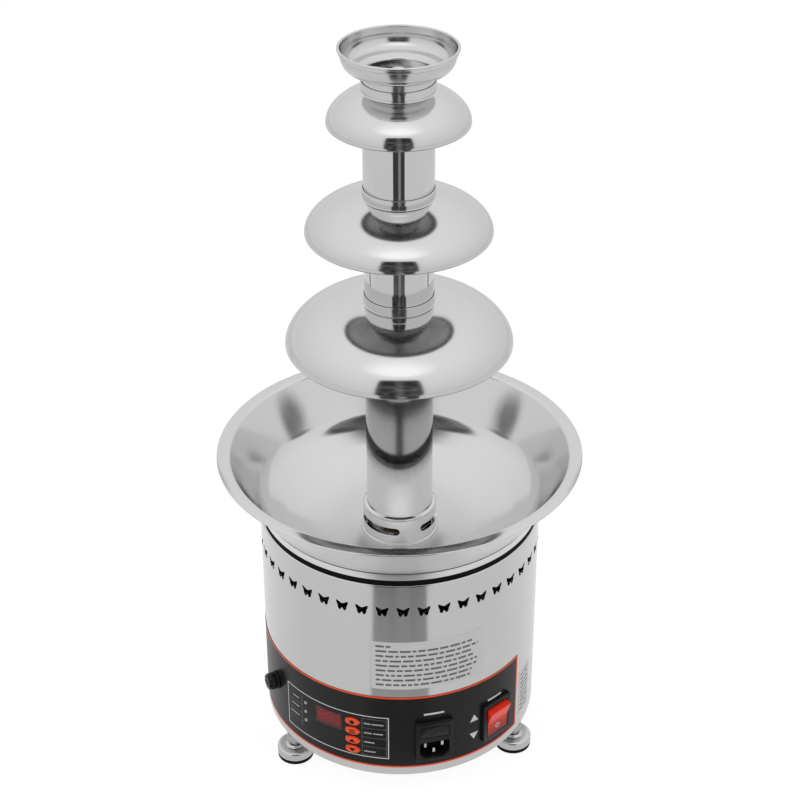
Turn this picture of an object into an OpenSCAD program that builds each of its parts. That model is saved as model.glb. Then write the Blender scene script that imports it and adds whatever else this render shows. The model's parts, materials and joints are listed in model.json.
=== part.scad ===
// Table-top chocolate fountain: drum base with motor and heater, wide bowl, auger,
// and a tower of three domes with a cup on top. All sizes are in millimetres.
// Z points up, the origin lies on the table under the tower, and the control panel faces -Y.

/* [Feet] */
// Number of feet
foot_count = 3; // [3:1:3]
// Distance of each foot's middle inside the casing's surface
foot_inset = 6.7; // [6.6:0.1:8]
// Turn of the first foot from the front, towards the right
foot_turn = -56.1; // [-60:0.1:-52]
// Diameter of the rubber pad
pad_d = 29.5; // [26:0.5:32]
// Height of the rubber pad
pad_h = 3.8; // [3:0.1:6]
// Diameter of the steel cup over the pad
foot_cup_d = 30; // [27:0.5:34]
// Height of the steel cup above the pad
foot_cup_h = 9.2; // [7:0.1:12]
// Bare stud that shows between the cup and the lock nut
stud_show = 2; // [1:0.5:6]
// Diameter of the threaded stud
stud_d = 8; // [6:1:8]
// Width across flats of the lock nut
lock_nut_af = 13; // [12:1:14]
// Height of the lock nut
lock_nut_h = 6.5; // [4:0.5:8]

/* [Casing] */
// Outside diameter of the drum casing
casing_d = 224; // [222:1:230]
// Height of the drum casing
casing_h = 191; // [186:1:200]
// Sheet thickness of the casing
casing_t = 1; // [0.8:0.1:1.1]
// Outside radius of the rolled bottom edge
casing_edge_r = 3; // [2:0.5:5]
// Width of the turned-in bottom rim
bottom_rim_w = 26; // [25:0.5:28]
// Width of the turned-in top rim
top_rim_w = 14; // [12:0.5:16]
// Thickness of the base plate
base_plate_t = 1.2; // [1:0.1:2]
// Number of butterfly vents round the casing
vent_count = 44; // [36:1:48]
// Width of one butterfly vent
vent_w = 10.2; // [8:0.2:12]
// Depth of the vents' middle below the casing's top edge
vent_drop = 24.5; // [18:0.5:30]

/* [Control panel] */
// Left end of the panel film, as a turn from the front
panel_left = -92; // [-100:1:-80]
// Right end of the panel film, as a turn from the front
panel_right = 57.8; // [55:0.1:60]
// Height of the panel film
panel_h = 72.6; // [68:0.2:80]
// Plain strip of casing below the panel film
panel_lift = 9.4; // [8:0.2:12]
// Thickness of the panel film
film_t = 0.3; // [0.2:0.1:0.5]
// Turn of the display window's middle
window_turn = -31; // [-33:0.5:-30]
// Width of the display window
window_w = 24.2; // [20:0.2:25]
// Height of the display window
window_h = 16.2; // [12:0.2:18]
// Turn of the button column
button_turn = -19.8; // [-21:0.1:-18]
// Width of one oval button
button_w = 12.6; // [10:0.1:14]
// Height of one oval button
button_h = 7.3; // [6:0.1:8]
// Distance from one button to the next
button_pitch = 9.6; // [9:0.1:11]
// Travel of a button when it is pressed
button_travel = 0.8; // [0.4:0.1:1]
// Turn of the row of status lights
light_turn = -42.7; // [-44:0.1:-41]
// Diameter of one status light
light_d = 3; // [2:0.5:4]

/* [Inlet and switch] */
// Turn of the power inlet's middle
inlet_turn = 13.8; // [12:0.1:16]
// Width of the power inlet's flange
inlet_w = 31; // [29:0.5:34]
// Height of the power inlet's flange
inlet_h = 40; // [38:0.5:44]
// Turn of the rocker switch's middle
switch_turn = 43.2; // [42:0.1:44]
// Width of the switch's flange
switch_w = 30; // [28:0.5:32]
// Height of the switch's flange
switch_h = 37; // [35:0.5:42]
// Angle between the two positions of the rocker
rocker_throw = 20; // [14:1:22]
// Turn of the fuse holder
fuse_turn = -64; // [-67:0.5:-62]
// Diameter of the fuse cap
fuse_cap_d = 13.6; // [12:0.2:15]
// How far the fuse cap stands out
fuse_cap_h = 6.8; // [6:0.2:14]

/* [Bowl] */
// Diameter of the bowl over its flange
bowl_d = 288.4; // [280:0.2:310]
// Width of the flat flange
flange_w = 10; // [6:0.5:14]
// Height of the flange above the bowl's lower corner
bowl_wall_h = 43.2; // [36:0.2:56]
// Depth of the dished floor below the bowl's lower corner
bowl_dish = 30.6; // [26:0.2:34]
// Sheet thickness of the bowl
bowl_t = 1.2; // [1:0.1:1.6]
// Height of the black gasket
gasket_h = 4.5; // [3:0.1:6]
// Height of the carrier ring between gasket and bowl corner
carrier_h = 4.5; // [4:0.1:7]

/* [Hub] */
// Outside diameter of the slotted hub collar
hub_d = 58.6; // [58.2:0.2:62]
// Height of the hub collar
hub_h = 22.6; // [22:0.2:28]
// Wall of the hub collar
hub_t = 1.2; // [1:0.1:1.4]
// Number of inlet slots in the hub collar
slot_count = 3; // [3:1:3]
// Angle that one slot covers
slot_arc = 86; // [70:1:92]
// Height of one slot
slot_h = 6.5; // [5:0.1:7.5]
// Angle that the tower turns to lock
lock_turn = 30; // [20:1:34]

/* [Tower] */
// Outside diameter of the tower's tubes
tube_d = 52.6; // [51:0.2:52.8]
// Wall of the tubes
tube_t = 0.8; // [0.6:0.1:1]
// Height of the lower dome's edge above the bowl's flange
lower_rise = 98.1; // [85:0.2:120]
// Height of the middle dome's edge above the lower dome's edge
middle_rise = 93; // [80:0.5:120]
// Height of the upper dome's edge above the middle dome's edge
upper_rise = 86.4; // [75:0.2:110]
// Height of the cup's rim above the upper dome's edge
cup_rise = 56.3; // [54:0.1:70]
// Diameter of the lower dome
lower_dome_d = 174.2; // [160:0.2:190]
// Diameter of the middle dome
middle_dome_d = 140; // [125:0.5:155]
// Diameter of the upper dome
upper_dome_d = 104.8; // [95:0.2:120]
// Height of the lower dome from its edge to its neck
lower_dome_h = 34.1; // [30:0.1:40]
// Height of the middle dome from its edge to its neck
middle_dome_h = 28.1; // [24:0.1:34]
// Height of the upper dome from its edge to its neck
upper_dome_h = 24.1; // [20:0.1:28]
// Sheet thickness of the domes and the cup
dome_t = 1; // [0.8:0.1:1.4]
// Radius of the rolled edge of each dome
dome_bead_r = 1.5; // [1.2:0.1:2]
// Height of a collar above its dome
collar_h = 7.7; // [7:0.1:10]
// Wall of a collar where it grips its tube
collar_t = 0.9; // [0.7:0.1:1.2]
// Diameter of the cup over its rim
cup_d = 87.2; // [80:0.2:100]
// Height of the cup from its lower edge to its rim
cup_h = 17.4; // [14:0.2:19]

/* [Auger] */
// Diameter of the auger's helical flight
auger_d = 47.4; // [44:0.2:47.6]
// Diameter of the auger's core
auger_core_d = 14; // [12:0.5:16]
// Rise of the flight in one turn
auger_pitch = 40; // [32:1:50]
// Thickness of the flight
flight_t = 2; // [1.5:0.1:3]
// Diameter of the drive shaft
shaft_d = 10; // [8:0.5:11]

/* [Hidden] */

$fn = 96;

// Clearances: beside a moving or lifted piece, under a seat, and round a turning shaft
gap = 0.3;
seat_gap = 0.2;
run_gap = 0.05;
// Length that a cutter runs past the face it cuts
over = 1;

// Levels from the table up
insert_flange_t = 1.5;
nut_z = pad_h + foot_cup_h + stud_show;
casing_z = nut_z + lock_nut_h + insert_flange_t;
casing_top = casing_z + casing_h;
gasket_top = casing_top + gasket_h;
corner_z = gasket_top + carrier_h;
rim_z = corner_z + bowl_wall_h;
hub_z = corner_z - bowl_dish;
lower_z = rim_z + lower_rise;
middle_z = lower_z + middle_rise;
upper_z = middle_z + upper_rise;
cup_top = upper_z + cup_rise;

// Radii of the base
casing_r = casing_d / 2;
casing_in_r = casing_r - casing_t;
film_r = casing_r + film_t;
bottom_open_r = casing_r - bottom_rim_w;
foot_pitch_r = casing_r - foot_inset;
gasket_r = casing_r - 1;
gasket_in_r = casing_r - top_rim_w + 1;
bowl_r = bowl_d / 2;
corner_r = casing_r - 1.5;
hub_r = hub_d / 2;
hub_in_r = hub_r - hub_t;
tube_r = tube_d / 2;
tube_in_r = tube_r - tube_t;
spigot_r = tube_in_r - gap;
spigot_in_r = spigot_r - tube_t;
collar_r = tube_r + collar_t;
shaft_r = shaft_d / 2;

// Panel places
panel_z = casing_z + panel_lift;
board_turn = (window_turn + button_turn) / 2;
board_t = 1.6;
board_w = 80;
board_h = 52;
board_back = 16;
board_lift = 33.5;
board_front_r = casing_r - board_back + board_t;
board_mid_z = panel_z + board_lift;
window_lift = 38.4;
window_z = panel_z + window_lift;
button_lift = 14.6;
button_z0 = panel_z + button_lift;
button_rise = 1.6;
light_lift = 24.6;
light_z0 = panel_z + light_lift;
light_pitch = 9;
inlet_lift = 27.5;
inlet_z = panel_z + inlet_lift;
switch_z = inlet_z;
fuse_lift = 39.1;
fuse_z = panel_z + fuse_lift;
// Width of a flange's lip outside the opening that its part sits in
flange_lip = 2;

// Unit vector, and a vector turned by an angle
function unit(v) = v / norm(v);
function turned(v, a) = [v.x * cos(a) - v.y * sin(a), v.x * sin(a) + v.y * cos(a)];

// Points of an arc of radius b[2] that rounds corner b between points a and c
function corner(a, b, c, steps = 8) =
    let (
        p = [b.x, b.y],
        u = unit([a.x, a.y] - p),
        v = unit([c.x, c.y] - p),
        half = acos(u * v) / 2,
        centre = p + unit(u + v) * b[2] / sin(half),
        from = p + u * b[2] / tan(half) - centre,
        sweep = -sign(cross(u, v)) * (180 - 2 * half)
    )
    b[2] == 0 ? [p] : [for (i = [0:steps]) centre + turned(from, sweep * i / steps)];

// Open path whose inner points are [x, y, radius], with each corner rounded
function rounded_path(path) =
    let (last = len(path) - 1)
    [
        [path[0].x, path[0].y],
        for (i = [1:last - 1]) each corner(path[i - 1], path[i], path[i + 1]),
        [path[last].x, path[last].y]
    ];

// Left-hand normal of the step from a to b
function normal(a, b) = unit([a.y - b.y, b.x - a.x]);

// Path moved sideways to its left by d, mitred at its corners
function moved_path(path, d) =
    let (last = len(path) - 1)
    [for (i = [0:last])
        let (
            n0 = normal(path[max(i - 1, 0)], path[max(i, 1)]),
            n1 = normal(path[min(i, last - 1)], path[min(i + 1, last)]),
            n = unit(n0 + n1)
        )
        path[i] + n * d / (n * n1)];

function reversed(list) = [for (i = [len(list) - 1:-1:0]) list[i]];

// Closed outline of a sheet of thickness d that lies to the left of a path
function sheet(path, d) = concat(path, reversed(moved_path(path, d)));

// Points of a cubic curve between p0 and p3, steered by p1 and p2
function curve(p0, p1, p2, p3, steps) =
    [for (i = [0:steps])
        let (t = i / steps, s = 1 - t)
        p0 * s * s * s + p1 * 3 * s * s * t + p2 * 3 * s * t * t + p3 * t * t * t];

module revolve(outline) {
    rotate_extrude(angle = 360) polygon(outline);
}

// Ring of rectangular section
module ring(r0, r1, z, h) {
    translate([0, 0, z]) difference() {
        cylinder(r = r1, h = h);
        translate([0, 0, -over]) cylinder(r = r0, h = h + 2 * over);
    }
}

// Part of a ring between two turns from the front
module ring_part(r0, r1, z, h, from, to) {
    rotate([0, 0, from - 90]) rotate_extrude(angle = to - from)
        translate([r0, z]) square([r1 - r0, h]);
}

// Places a piece on the drum: X runs to the right, -Y points out and Z points up
module on_drum(turn, z) {
    rotate([0, 0, turn]) translate([0, 0, z]) children();
}

// Extrudes a flat outline towards -Y, from radius r0 to radius r1
module outward(r0, r1) {
    translate([0, -r0, 0]) rotate([90, 0, 0]) linear_extrude(height = r1 - r0) children();
}

module rounded_rect(w, h, r) {
    square([w - 2 * r, h], center = true);
    square([w, h - 2 * r], center = true);
    for (x = [-1, 1], y = [-1, 1])
        translate([x * (w / 2 - r), y * (h / 2 - r)]) circle(r = r);
}

// Hexagon with its flats towards X
module hexagon(across_flats) {
    rotate(30) circle(r = across_flats / 2 / cos(30), $fn = 6);
}

function oval(w, h, steps = 32) =
    [for (i = [0:steps - 1]) [w / 2 * cos(360 * i / steps), h / 2 * sin(360 * i / steps)]];

// Feet

module at_foot(i) {
    rotate([0, 0, foot_turn + (i - 1) * 360 / foot_count]) translate([0, -foot_pitch_r, 0])
        children();
}

stud_r = stud_d / 2;
stud_top = casing_z + 15;
insert_r = stud_r + 1.4;
insert_flange_r = stud_r + 2.5;
insert_h = 10;

module foot_inserts() {
    color("silver") for (i = [1:foot_count]) at_foot(i) difference() {
        union() {
            translate([0, 0, casing_z - insert_flange_t])
                cylinder(r = insert_flange_r, h = insert_flange_t);
            translate([0, 0, casing_z - over]) cylinder(r = insert_r, h = insert_h + over);
        }
        translate([0, 0, casing_z - insert_flange_t - over])
            cylinder(r = stud_r + run_gap, h = insert_h + insert_flange_t + 2 * over);
    }
}

module foot_nut(i) {
    color("silver") at_foot(i) translate([0, 0, nut_z]) difference() {
        intersection() {
            linear_extrude(height = lock_nut_h - seat_gap) hexagon(lock_nut_af);
            cylinder(r = lock_nut_af / 2 + 0.7, h = lock_nut_h - seat_gap);
        }
        translate([0, 0, -over]) cylinder(r = stud_r + run_gap, h = lock_nut_h + 2 * over);
    }
}

module foot_cup(i) {
    cup_r = foot_cup_d / 2;
    top = pad_h + foot_cup_h;
    shell_t = 1.5;
    outside = rounded_path([[0, top, 0], [0.42 * cup_r, top, 1.5], [0.52 * cup_r, top - 1.6, 1.2],
        [cup_r, top - 1.6, 2.5], [cup_r, pad_h, 0]]);
    color("silver") at_foot(i) {
        difference() {
            revolve(concat(outside, [[0, pad_h]]));
            translate([0, 0, pad_h - over])
                cylinder(r = cup_r - shell_t, h = foot_cup_h - 4 + over);
        }
        translate([0, 0, top - over]) cylinder(r = stud_r, h = stud_top - top + over);
    }
}

module foot_pad(i) {
    plug_r = foot_cup_d / 2 - 1.5 - seat_gap;
    plug_h = foot_cup_h - 4 - seat_gap;
    edge = rounded_path([[0, 0, 0], [pad_d / 2, 0, 0.8], [pad_d / 2, pad_h, 0], [0, pad_h]]);
    color("dimgray") at_foot(i) {
        revolve(edge);
        translate([0, 0, pad_h - over]) cylinder(r = plug_r, h = plug_h + over);
    }
}

// Casing and base plate

// Right half of a butterfly about its own middle, for a body 1 wide
function half_wing() =
    [[0, 0.22], [0.07, 0.21], [0.25, 0.3], [0.43, 0.4], [0.5, 0.38], [0.42, 0.11], [0.35, -0.03],
    [0.34, -0.14], [0.31, -0.28], [0.24, -0.4], [0.17, -0.42], [0.11, -0.37], [0.05, -0.22], [0, -0.18]];

module butterfly(w) {
    wing = [for (p = half_wing()) p * w];
    other = [for (i = [len(wing) - 2:-1:1]) [-wing[i].x, wing[i].y]];
    polygon(concat(wing, other));
}

// Cutters for everything that passes through the panel, grown by a margin
module panel_openings(margin) {
    sag = 4;
    deep = casing_in_r - sag;
    far = film_r + sag;
    spare = 2 * margin - 2 * flange_lip;
    on_drum(inlet_turn, inlet_z) outward(deep, far)
        square([inlet_w + spare, inlet_h + spare], center = true);
    on_drum(switch_turn, switch_z) outward(deep, far)
        square([switch_w + spare, switch_h + spare], center = true);
    on_drum(window_turn, window_z) outward(deep, far)
        square([window_w + 2 * margin, window_h + 2 * margin], center = true);
    on_drum(fuse_turn, fuse_z) outward(deep, far) circle(r = fuse_barrel_r + margin);
    for (i = [0:3]) on_drum(button_turn, button_z0 + i * button_pitch) outward(deep, far)
        polygon(oval(button_w + 2 * margin, button_h + 2 * margin));
    for (i = [0:2]) at_light(i) outward(deep - sag, far) circle(r = light_d / 2 + margin);
}

bowl_stud_count = 4;
bowl_stud_r = 2;
bowl_stud_pitch_r = casing_r - 7;
base_screw_count = 6;
base_screw_pitch_r = bottom_open_r + 5.5;

module at_bowl_studs() {
    for (i = [0:bowl_stud_count - 1]) rotate([0, 0, 45 + i * 360 / bowl_stud_count])
        translate([bowl_stud_pitch_r, 0, 0]) children();
}

module at_base_screws() {
    for (i = [0:base_screw_count - 1]) rotate([0, 0, i * 360 / base_screw_count])
        translate([base_screw_pitch_r, 0, 0]) children();
}

module casing() {
    path = rounded_path([[bottom_open_r, casing_z], [casing_r, casing_z, casing_edge_r],
        [casing_r, casing_top, 1.2], [casing_r - top_rim_w, casing_top]]);
    color("lightgray") difference() {
        revolve(sheet(path, casing_t));
        for (i = [0:vent_count - 1]) on_drum(1.2 + i * 360 / vent_count, casing_top - vent_drop)
            outward(casing_in_r - over, casing_r + over) butterfly(vent_w);
        panel_openings(0.2);
        for (i = [1:foot_count]) at_foot(i) translate([0, 0, casing_z - over])
            cylinder(r = insert_r, h = casing_t + 2 * over);
        at_base_screws() translate([0, 0, casing_z - over]) cylinder(r = 1.6, h = casing_t + 2 * over);
        at_bowl_studs() translate([0, 0, casing_top - casing_t - over])
            cylinder(r = bowl_stud_r + 0.2, h = casing_t + 2 * over);
    }
}

base_plate_r = bottom_open_r + 11;

module base_plate() {
    color("silver") translate([0, 0, casing_z - base_plate_t]) difference() {
        cylinder(r = base_plate_r, h = base_plate_t);
        at_base_screws() translate([0, 0, -over]) cylinder(r = 1.8, h = base_plate_t + 2 * over);
        // Rings of cooling slots under the motor
        for (i = [0:11]) rotate([0, 0, 15 + i * 30]) translate([0, 0, -over])
            linear_extrude(height = base_plate_t + 2 * over) {
                translate([30, -2]) square([26, 4]);
                translate([30, 0]) circle(r = 2);
                translate([56, 0]) circle(r = 2);
            }
    }
}

module base_screws() {
    head_z = casing_z - base_plate_t;
    color("silver") at_base_screws() {
        difference() {
            translate([0, 0, head_z - 2]) cylinder(r1 = 2, r2 = 3, h = 2);
            translate([0, 0, head_z - 2 - over]) linear_extrude(height = 1 + over) {
                square([3, 0.7], center = true);
                square([0.7, 3], center = true);
            }
        }
        translate([0, 0, head_z - 0.5]) cylinder(r = 1.5, h = 7);
    }
}

// Gasket, carrier ring and bowl

// Upper surface of the bowl, from its centre hole out to the edge of the flange
hub_hole_r = 12;
floor_sag = 4;
corner_bend = 24;
floor_from = [hub_r + 2, hub_z];
floor_to = [corner_r - 2.5, corner_z - 1];
floor_chord = floor_to - floor_from;
floor_steps = 12;
floor_points = [for (i = [0:floor_steps])
    let (t = i / floor_steps)
    floor_from + floor_chord * t + unit([floor_chord.y, -floor_chord.x]) * floor_sag * 4 * t * (1 - t)];
wall_top = [bowl_r - flange_w, rim_z];
wall_points = rounded_path([floor_points[floor_steps - 2], [corner_r, corner_z + 0.5, corner_bend],
    [wall_top.x, wall_top.y, 3], [bowl_r, rim_z]]);
bowl_upper = concat([[hub_hole_r, hub_z]], [for (i = [0:floor_steps - 3]) floor_points[i]], wall_points);
bowl_lower = moved_path(bowl_upper, -bowl_t);

module bowl() {
    color("gainsboro") revolve(sheet(bowl_upper, -bowl_t));
}

// Everything on the bowl's lower surface and above it, out to radius r
module above_bowl(r) {
    under = [for (p = bowl_lower) if (p.x < r) p];
    revolve(concat([[0, under[0].y]], under, [[r, under[len(under) - 1].y], [r, rim_z], [0, rim_z]]));
}

module gasket() {
    color("black") difference() {
        revolve(concat(rounded_path([[gasket_in_r, casing_top], [gasket_r, casing_top, 0.8],
            [gasket_r, gasket_top, 0.8], [gasket_in_r, gasket_top]])));
        at_bowl_studs() translate([0, 0, casing_top - over])
            cylinder(r = bowl_stud_r + 0.1, h = gasket_h + 2 * over);
        above_bowl(corner_r);
    }
}

module bowl_carrier() {
    in_r = bowl_stud_pitch_r - 3;
    color("silver") difference() {
        union() {
            revolve(rounded_path([[in_r, gasket_top], [gasket_r + 0.2, gasket_top, 0.5],
                [corner_r + 0.6, corner_z + 2, 0.8], [in_r, corner_z + 2]]));
            at_bowl_studs() translate([0, 0, casing_top - casing_t - 7])
                cylinder(r = bowl_stud_r, h = gasket_h + casing_t + 8);
        }
        above_bowl(bowl_r - flange_w);
    }
}

module bowl_nuts() {
    h = 3.2;
    color("silver") at_bowl_studs() translate([0, 0, casing_top - casing_t - h]) difference() {
        linear_extrude(height = h) hexagon(7);
        translate([0, 0, -over]) cylinder(r = bowl_stud_r, h = h + 2 * over);
    }
}

// Hub collar, bearing and drive

slot_z = hub_z + 9.3;
catch_top = slot_z - 0.5;
catch_t = 2;
lug_arc = 8;
lug_h = 3.5;
bearing_ring_h = 2;
tube_bottom = hub_z + seat_gap + bearing_ring_h + gap;
bush_flange_h = 2.5;
seal_h = 3;
dog_z = hub_z + bush_flange_h + seal_h + 0.5;
dog_h = 11;

// Middle of each bridge between two slots, as a turn from the front
function bridge_turn(i) = (360 / slot_count - slot_arc) / 2 + i * 360 / slot_count;

// Slots through a round wall; each rounded end is a hair smaller than the slot, so no edge is tangent
module slot_cutters(z, h, r0, r1, arc) {
    end_r = h / 2;
    relief = 0.05;
    inset = end_r / hub_r * 180 / PI;
    for (i = [0:slot_count - 1]) {
        from = bridge_turn(i) + 180 / slot_count - arc / 2;
        ring_part(r0, r1, z, h, from + inset, from + arc - inset);
        for (a = [from + inset, from + arc - inset]) on_drum(a, z + end_r) outward(r0, r1)
            circle(r = end_r - relief);
    }
}

module hub_collar() {
    foot = rounded_path([[hub_in_r, hub_z], [hub_r + 1.6, hub_z, 0], [hub_r + 1.6, hub_z + 1.6, 0.8],
        [hub_r, hub_z + 1.6, 0], [hub_r, hub_z + hub_h, 0.5], [hub_in_r, hub_z + hub_h]]);
    color("silver") difference() {
        union() {
            revolve(foot);
            // Catch ring that the tower's lugs turn under
            difference() {
                ring(tube_r + 0.15, hub_in_r + 0.2, catch_top - catch_t, catch_t);
                for (i = [0:slot_count - 1]) ring_part(tube_r - 1, hub_in_r + over, catch_top - catch_t - over,
                    catch_t + 2 * over, bridge_turn(i) - lug_arc, bridge_turn(i) + lug_arc);
            }
            // Stops that the lugs meet when the tower is locked
            for (i = [0:slot_count - 1]) {
                from = bridge_turn(i) + lock_turn + lug_arc / 2 + 0.6;
                ring_part(tube_r + gap, hub_in_r + 0.2, catch_top - catch_t - lug_h, lug_h + 0.5,
                    from, from + 4);
            }
        }
        slot_cutters(slot_z, slot_h, hub_in_r - 1, hub_r + over, slot_arc);
    }
}

module shaft_bush() {
    barrel_h = 12;
    color("gold") difference() {
        union() {
            translate([0, 0, hub_z]) cylinder(r = hub_hole_r + 2, h = bush_flange_h);
            translate([0, 0, hub_z - barrel_h]) cylinder(r = hub_hole_r, h = barrel_h + over);
        }
        translate([0, 0, hub_z - barrel_h - over])
            cylinder(r = shaft_r + run_gap, h = barrel_h + bush_flange_h + 2 * over);
    }
}

module shaft_seal() {
    z = hub_z + bush_flange_h;
    lip = rounded_path([[shaft_r + run_gap, z], [shaft_r + 4, z, 0.4], [shaft_r + 4, z + 2, 0.4],
        [shaft_r + 1.8, z + 2, 0.4], [shaft_r + 1, z + seal_h, 0], [shaft_r + run_gap, z + seal_h]]);
    color("black") revolve(lip);
}

gearbox_top = hub_z - 32;
plate_t = 3;
gearbox_r = 34;
gearbox_h = 36;
motor_r = 38;
motor_h = 64;
post_pitch_r = 44;
post_r = 4;

module drive_shaft() {
    bottom = gearbox_top - 20;
    color("silver") {
        translate([0, 0, bottom]) cylinder(r = shaft_r, h = dog_z - bottom);
        translate([0, 0, dog_z - over]) linear_extrude(height = dog_h + over)
            circle(r = shaft_r - 0.05, $fn = 6);
    }
}

module at_posts() {
    for (i = [0:3]) rotate([0, 0, 45 + 90 * i]) translate([post_pitch_r, 0, 0]) children();
}

module bracket_posts() {
    z = gearbox_top + plate_t;
    color("silver") difference() {
        at_posts() translate([0, 0, z]) cylinder(r = post_r, h = hub_z + bowl_dish - z);
        above_bowl(post_pitch_r + 2 * post_r);
        at_posts() translate([0, 0, z - over]) cylinder(r = 2.5, h = 12 + over);
    }
}

module motor_bracket() {
    color("silver") translate([0, 0, gearbox_top]) difference() {
        cylinder(r = post_pitch_r + 8, h = plate_t);
        translate([0, 0, -over]) cylinder(r = shaft_r + 4, h = plate_t + 2 * over);
        at_posts() translate([0, 0, -over]) cylinder(r = 2.6, h = plate_t + 2 * over);
        at_gearbox_screws() translate([0, 0, -over]) cylinder(r = 2.1, h = plate_t + 2 * over);
    }
}

module bracket_screws() {
    color("silver") at_posts() {
        translate([0, 0, gearbox_top - 3.5]) linear_extrude(height = 3.5) hexagon(8);
        translate([0, 0, gearbox_top - over]) cylinder(r = 2.45, h = plate_t + over + 10);
    }
}

module at_gearbox_screws() {
    for (i = [0:3]) rotate([0, 0, 90 * i]) translate([gearbox_r - 8, 0, 0]) children();
}

module gearbox_screws() {
    color("dimgray") at_gearbox_screws() {
        difference() {
            translate([0, 0, gearbox_top + plate_t]) cylinder(r = 3.5, h = 3);
            translate([0, 0, gearbox_top + plate_t + 1]) linear_extrude(height = 3) hexagon(3);
        }
        translate([0, 0, gearbox_top - 7]) cylinder(r = 2, h = plate_t + 8);
    }
}

module gearbox() {
    z = gearbox_top - gearbox_h;
    color("gray") difference() {
        union() {
            translate([0, 0, z]) cylinder(r = gearbox_r, h = gearbox_h);
            translate([0, 0, z]) cylinder(r = gearbox_r + 1.5, h = 4);
            for (i = [0:7]) rotate([0, 0, 22.5 + 45 * i]) translate([gearbox_r - 0.5, -1.5, z])
                cube([2, 3, gearbox_h - 6]);
        }
        translate([0, 0, gearbox_top - 20 - run_gap]) cylinder(r = shaft_r + run_gap, h = 21);
        at_gearbox_screws() translate([0, 0, gearbox_top - 8]) cylinder(r = 2 + run_gap, h = 9);
    }
}

module motor() {
    top = gearbox_top - gearbox_h;
    z = top - motor_h;
    color("dimgray") difference() {
        union() {
            translate([0, 0, z + 8]) cylinder(r = motor_r, h = motor_h - 16);
            translate([0, 0, top - 8]) cylinder(r = motor_r - 3, h = 8);
            translate([0, 0, z]) cylinder(r = motor_r - 3, h = 9);
            translate([0, 0, z - 4]) cylinder(r = 9, h = 5);
        }
        for (i = [0:11]) rotate([0, 0, 30 * i]) translate([motor_r - 5, -1.5, z + 16])
            cube([6, 3, motor_h - 32]);
    }
}

// Ring-shaped piece that follows the bowl's underside between two radii
module under_bowl(r0, r1, h) {
    top = concat([[r0, lookup(r0, bowl_lower)]],
        [for (p = bowl_lower) if (p.x > r0 && p.x < r1) p], [[r1, lookup(r1, bowl_lower)]]);
    rotate_extrude(angle = 360) polygon(concat(top, reversed([for (p = top) p - [0, h]])));
}

heater_r0 = post_pitch_r + 3 * post_r;
heater_r1 = corner_r - 26.5;
heater_h = 9;
sensor_r = 6;
sensor_h = 14;
sensor_pitch_r = casing_r - top_rim_w - sensor_r - 1;

module heater_ring() {
    color("silver") {
        under_bowl(heater_r0, heater_r1, heater_h);
        for (a = [-8, 8]) rotate([0, 0, 90 + a]) translate([heater_r1 - 3, 0, 0])
            translate([0, 0, lookup(heater_r1 - 3, bowl_lower) - heater_h - 8]) cylinder(r = 2, h = 9);
    }
}

module heat_sensor() {
    z = lookup(sensor_pitch_r, bowl_lower);
    color("dimgray") difference() {
        rotate([0, 0, 90]) translate([sensor_pitch_r, 0, z - sensor_h])
            cylinder(r = sensor_r, h = sensor_h + sensor_r);
        above_bowl(sensor_pitch_r + sensor_r + over);
    }
}

// Control board and panel

module board_frame() {
    on_drum(board_turn, board_mid_z) children();
}

button_lean = button_turn - board_turn;
window_lean = window_turn - board_turn;
light_x = casing_r * sin(light_turn - board_turn);
push_switch_h = 5;

module at_light(i) {
    on_drum(board_turn, light_z0 + i * light_pitch) translate([light_x, 0, 0]) children();
}

module at_board_pillars() {
    for (x = [-1, 1], z = [-1, 1])
        translate([x * (board_w / 2 - 4), 0, z * (board_h / 2 - 5)]) children();
}

module control_board() {
    color("darkgreen") board_frame() difference() {
        outward(board_front_r - board_t, board_front_r) rounded_rect(board_w, board_h, 2);
        at_board_pillars() outward(board_front_r - board_t - over, board_front_r + over)
            circle(r = 1.6);
    }
    // Relay, terminal block and capacitor on the board's back
    back = board_front_r - board_t;
    color("royalblue") board_frame() {
        translate([-22, 0, 8]) outward(back - 15, back) square([19, 16], center = true);
        translate([22, 0, -12]) outward(back - 12, back) square([30, 11], center = true);
        translate([18, 0, 10]) outward(back - 18, back) circle(r = 6);
    }
    push_switches();
}

module board_pillars() {
    color("silver") intersection() {
        board_frame() at_board_pillars() {
            outward(board_front_r, casing_r) circle(r = 3);
            outward(board_front_r - board_t - 3, casing_r) circle(r = 1.5);
        }
        cylinder(r = casing_in_r, h = casing_top);
    }
}

module push_switches() {
    x = (board_front_r + push_switch_h) * tan(button_lean);
    color("dimgray") for (i = [0:3]) on_drum(board_turn, button_z0 + i * button_pitch)
        translate([x, 0, 0]) {
            outward(board_front_r - board_t / 2, board_front_r + push_switch_h - 1.5)
                square([6, 6], center = true);
            outward(board_front_r, board_front_r + push_switch_h) circle(r = 1.7);
        }
}

module button(i) {
    stem_r0 = (board_front_r + push_switch_h + gap + button_travel) / cos(button_lean) + 0.3;
    retainer_r = casing_in_r - 1.2;
    color("orangered") on_drum(button_turn, button_z0 + (i - 1) * button_pitch) {
        outward(retainer_r, film_r + button_rise - 0.6)
            polygon(oval(button_w - 2 * gap, button_h - 2 * gap));
        outward(film_r + button_rise - 0.6, film_r + button_rise)
            polygon(oval(button_w - 2 * gap - 1, button_h - 2 * gap - 1));
        outward(stem_r0, retainer_r + over) circle(r = 2);
    }
}

module display_module() {
    color("black") difference() {
        on_drum(window_turn, window_z) outward(board_front_r - 8, casing_r - 1.2)
            square([window_w - 1.6, window_h - 1.6], center = true);
        board_frame() outward(board_front_r - 30, board_front_r)
            square([2 * board_w, 2 * board_h], center = true);
    }
}

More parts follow.
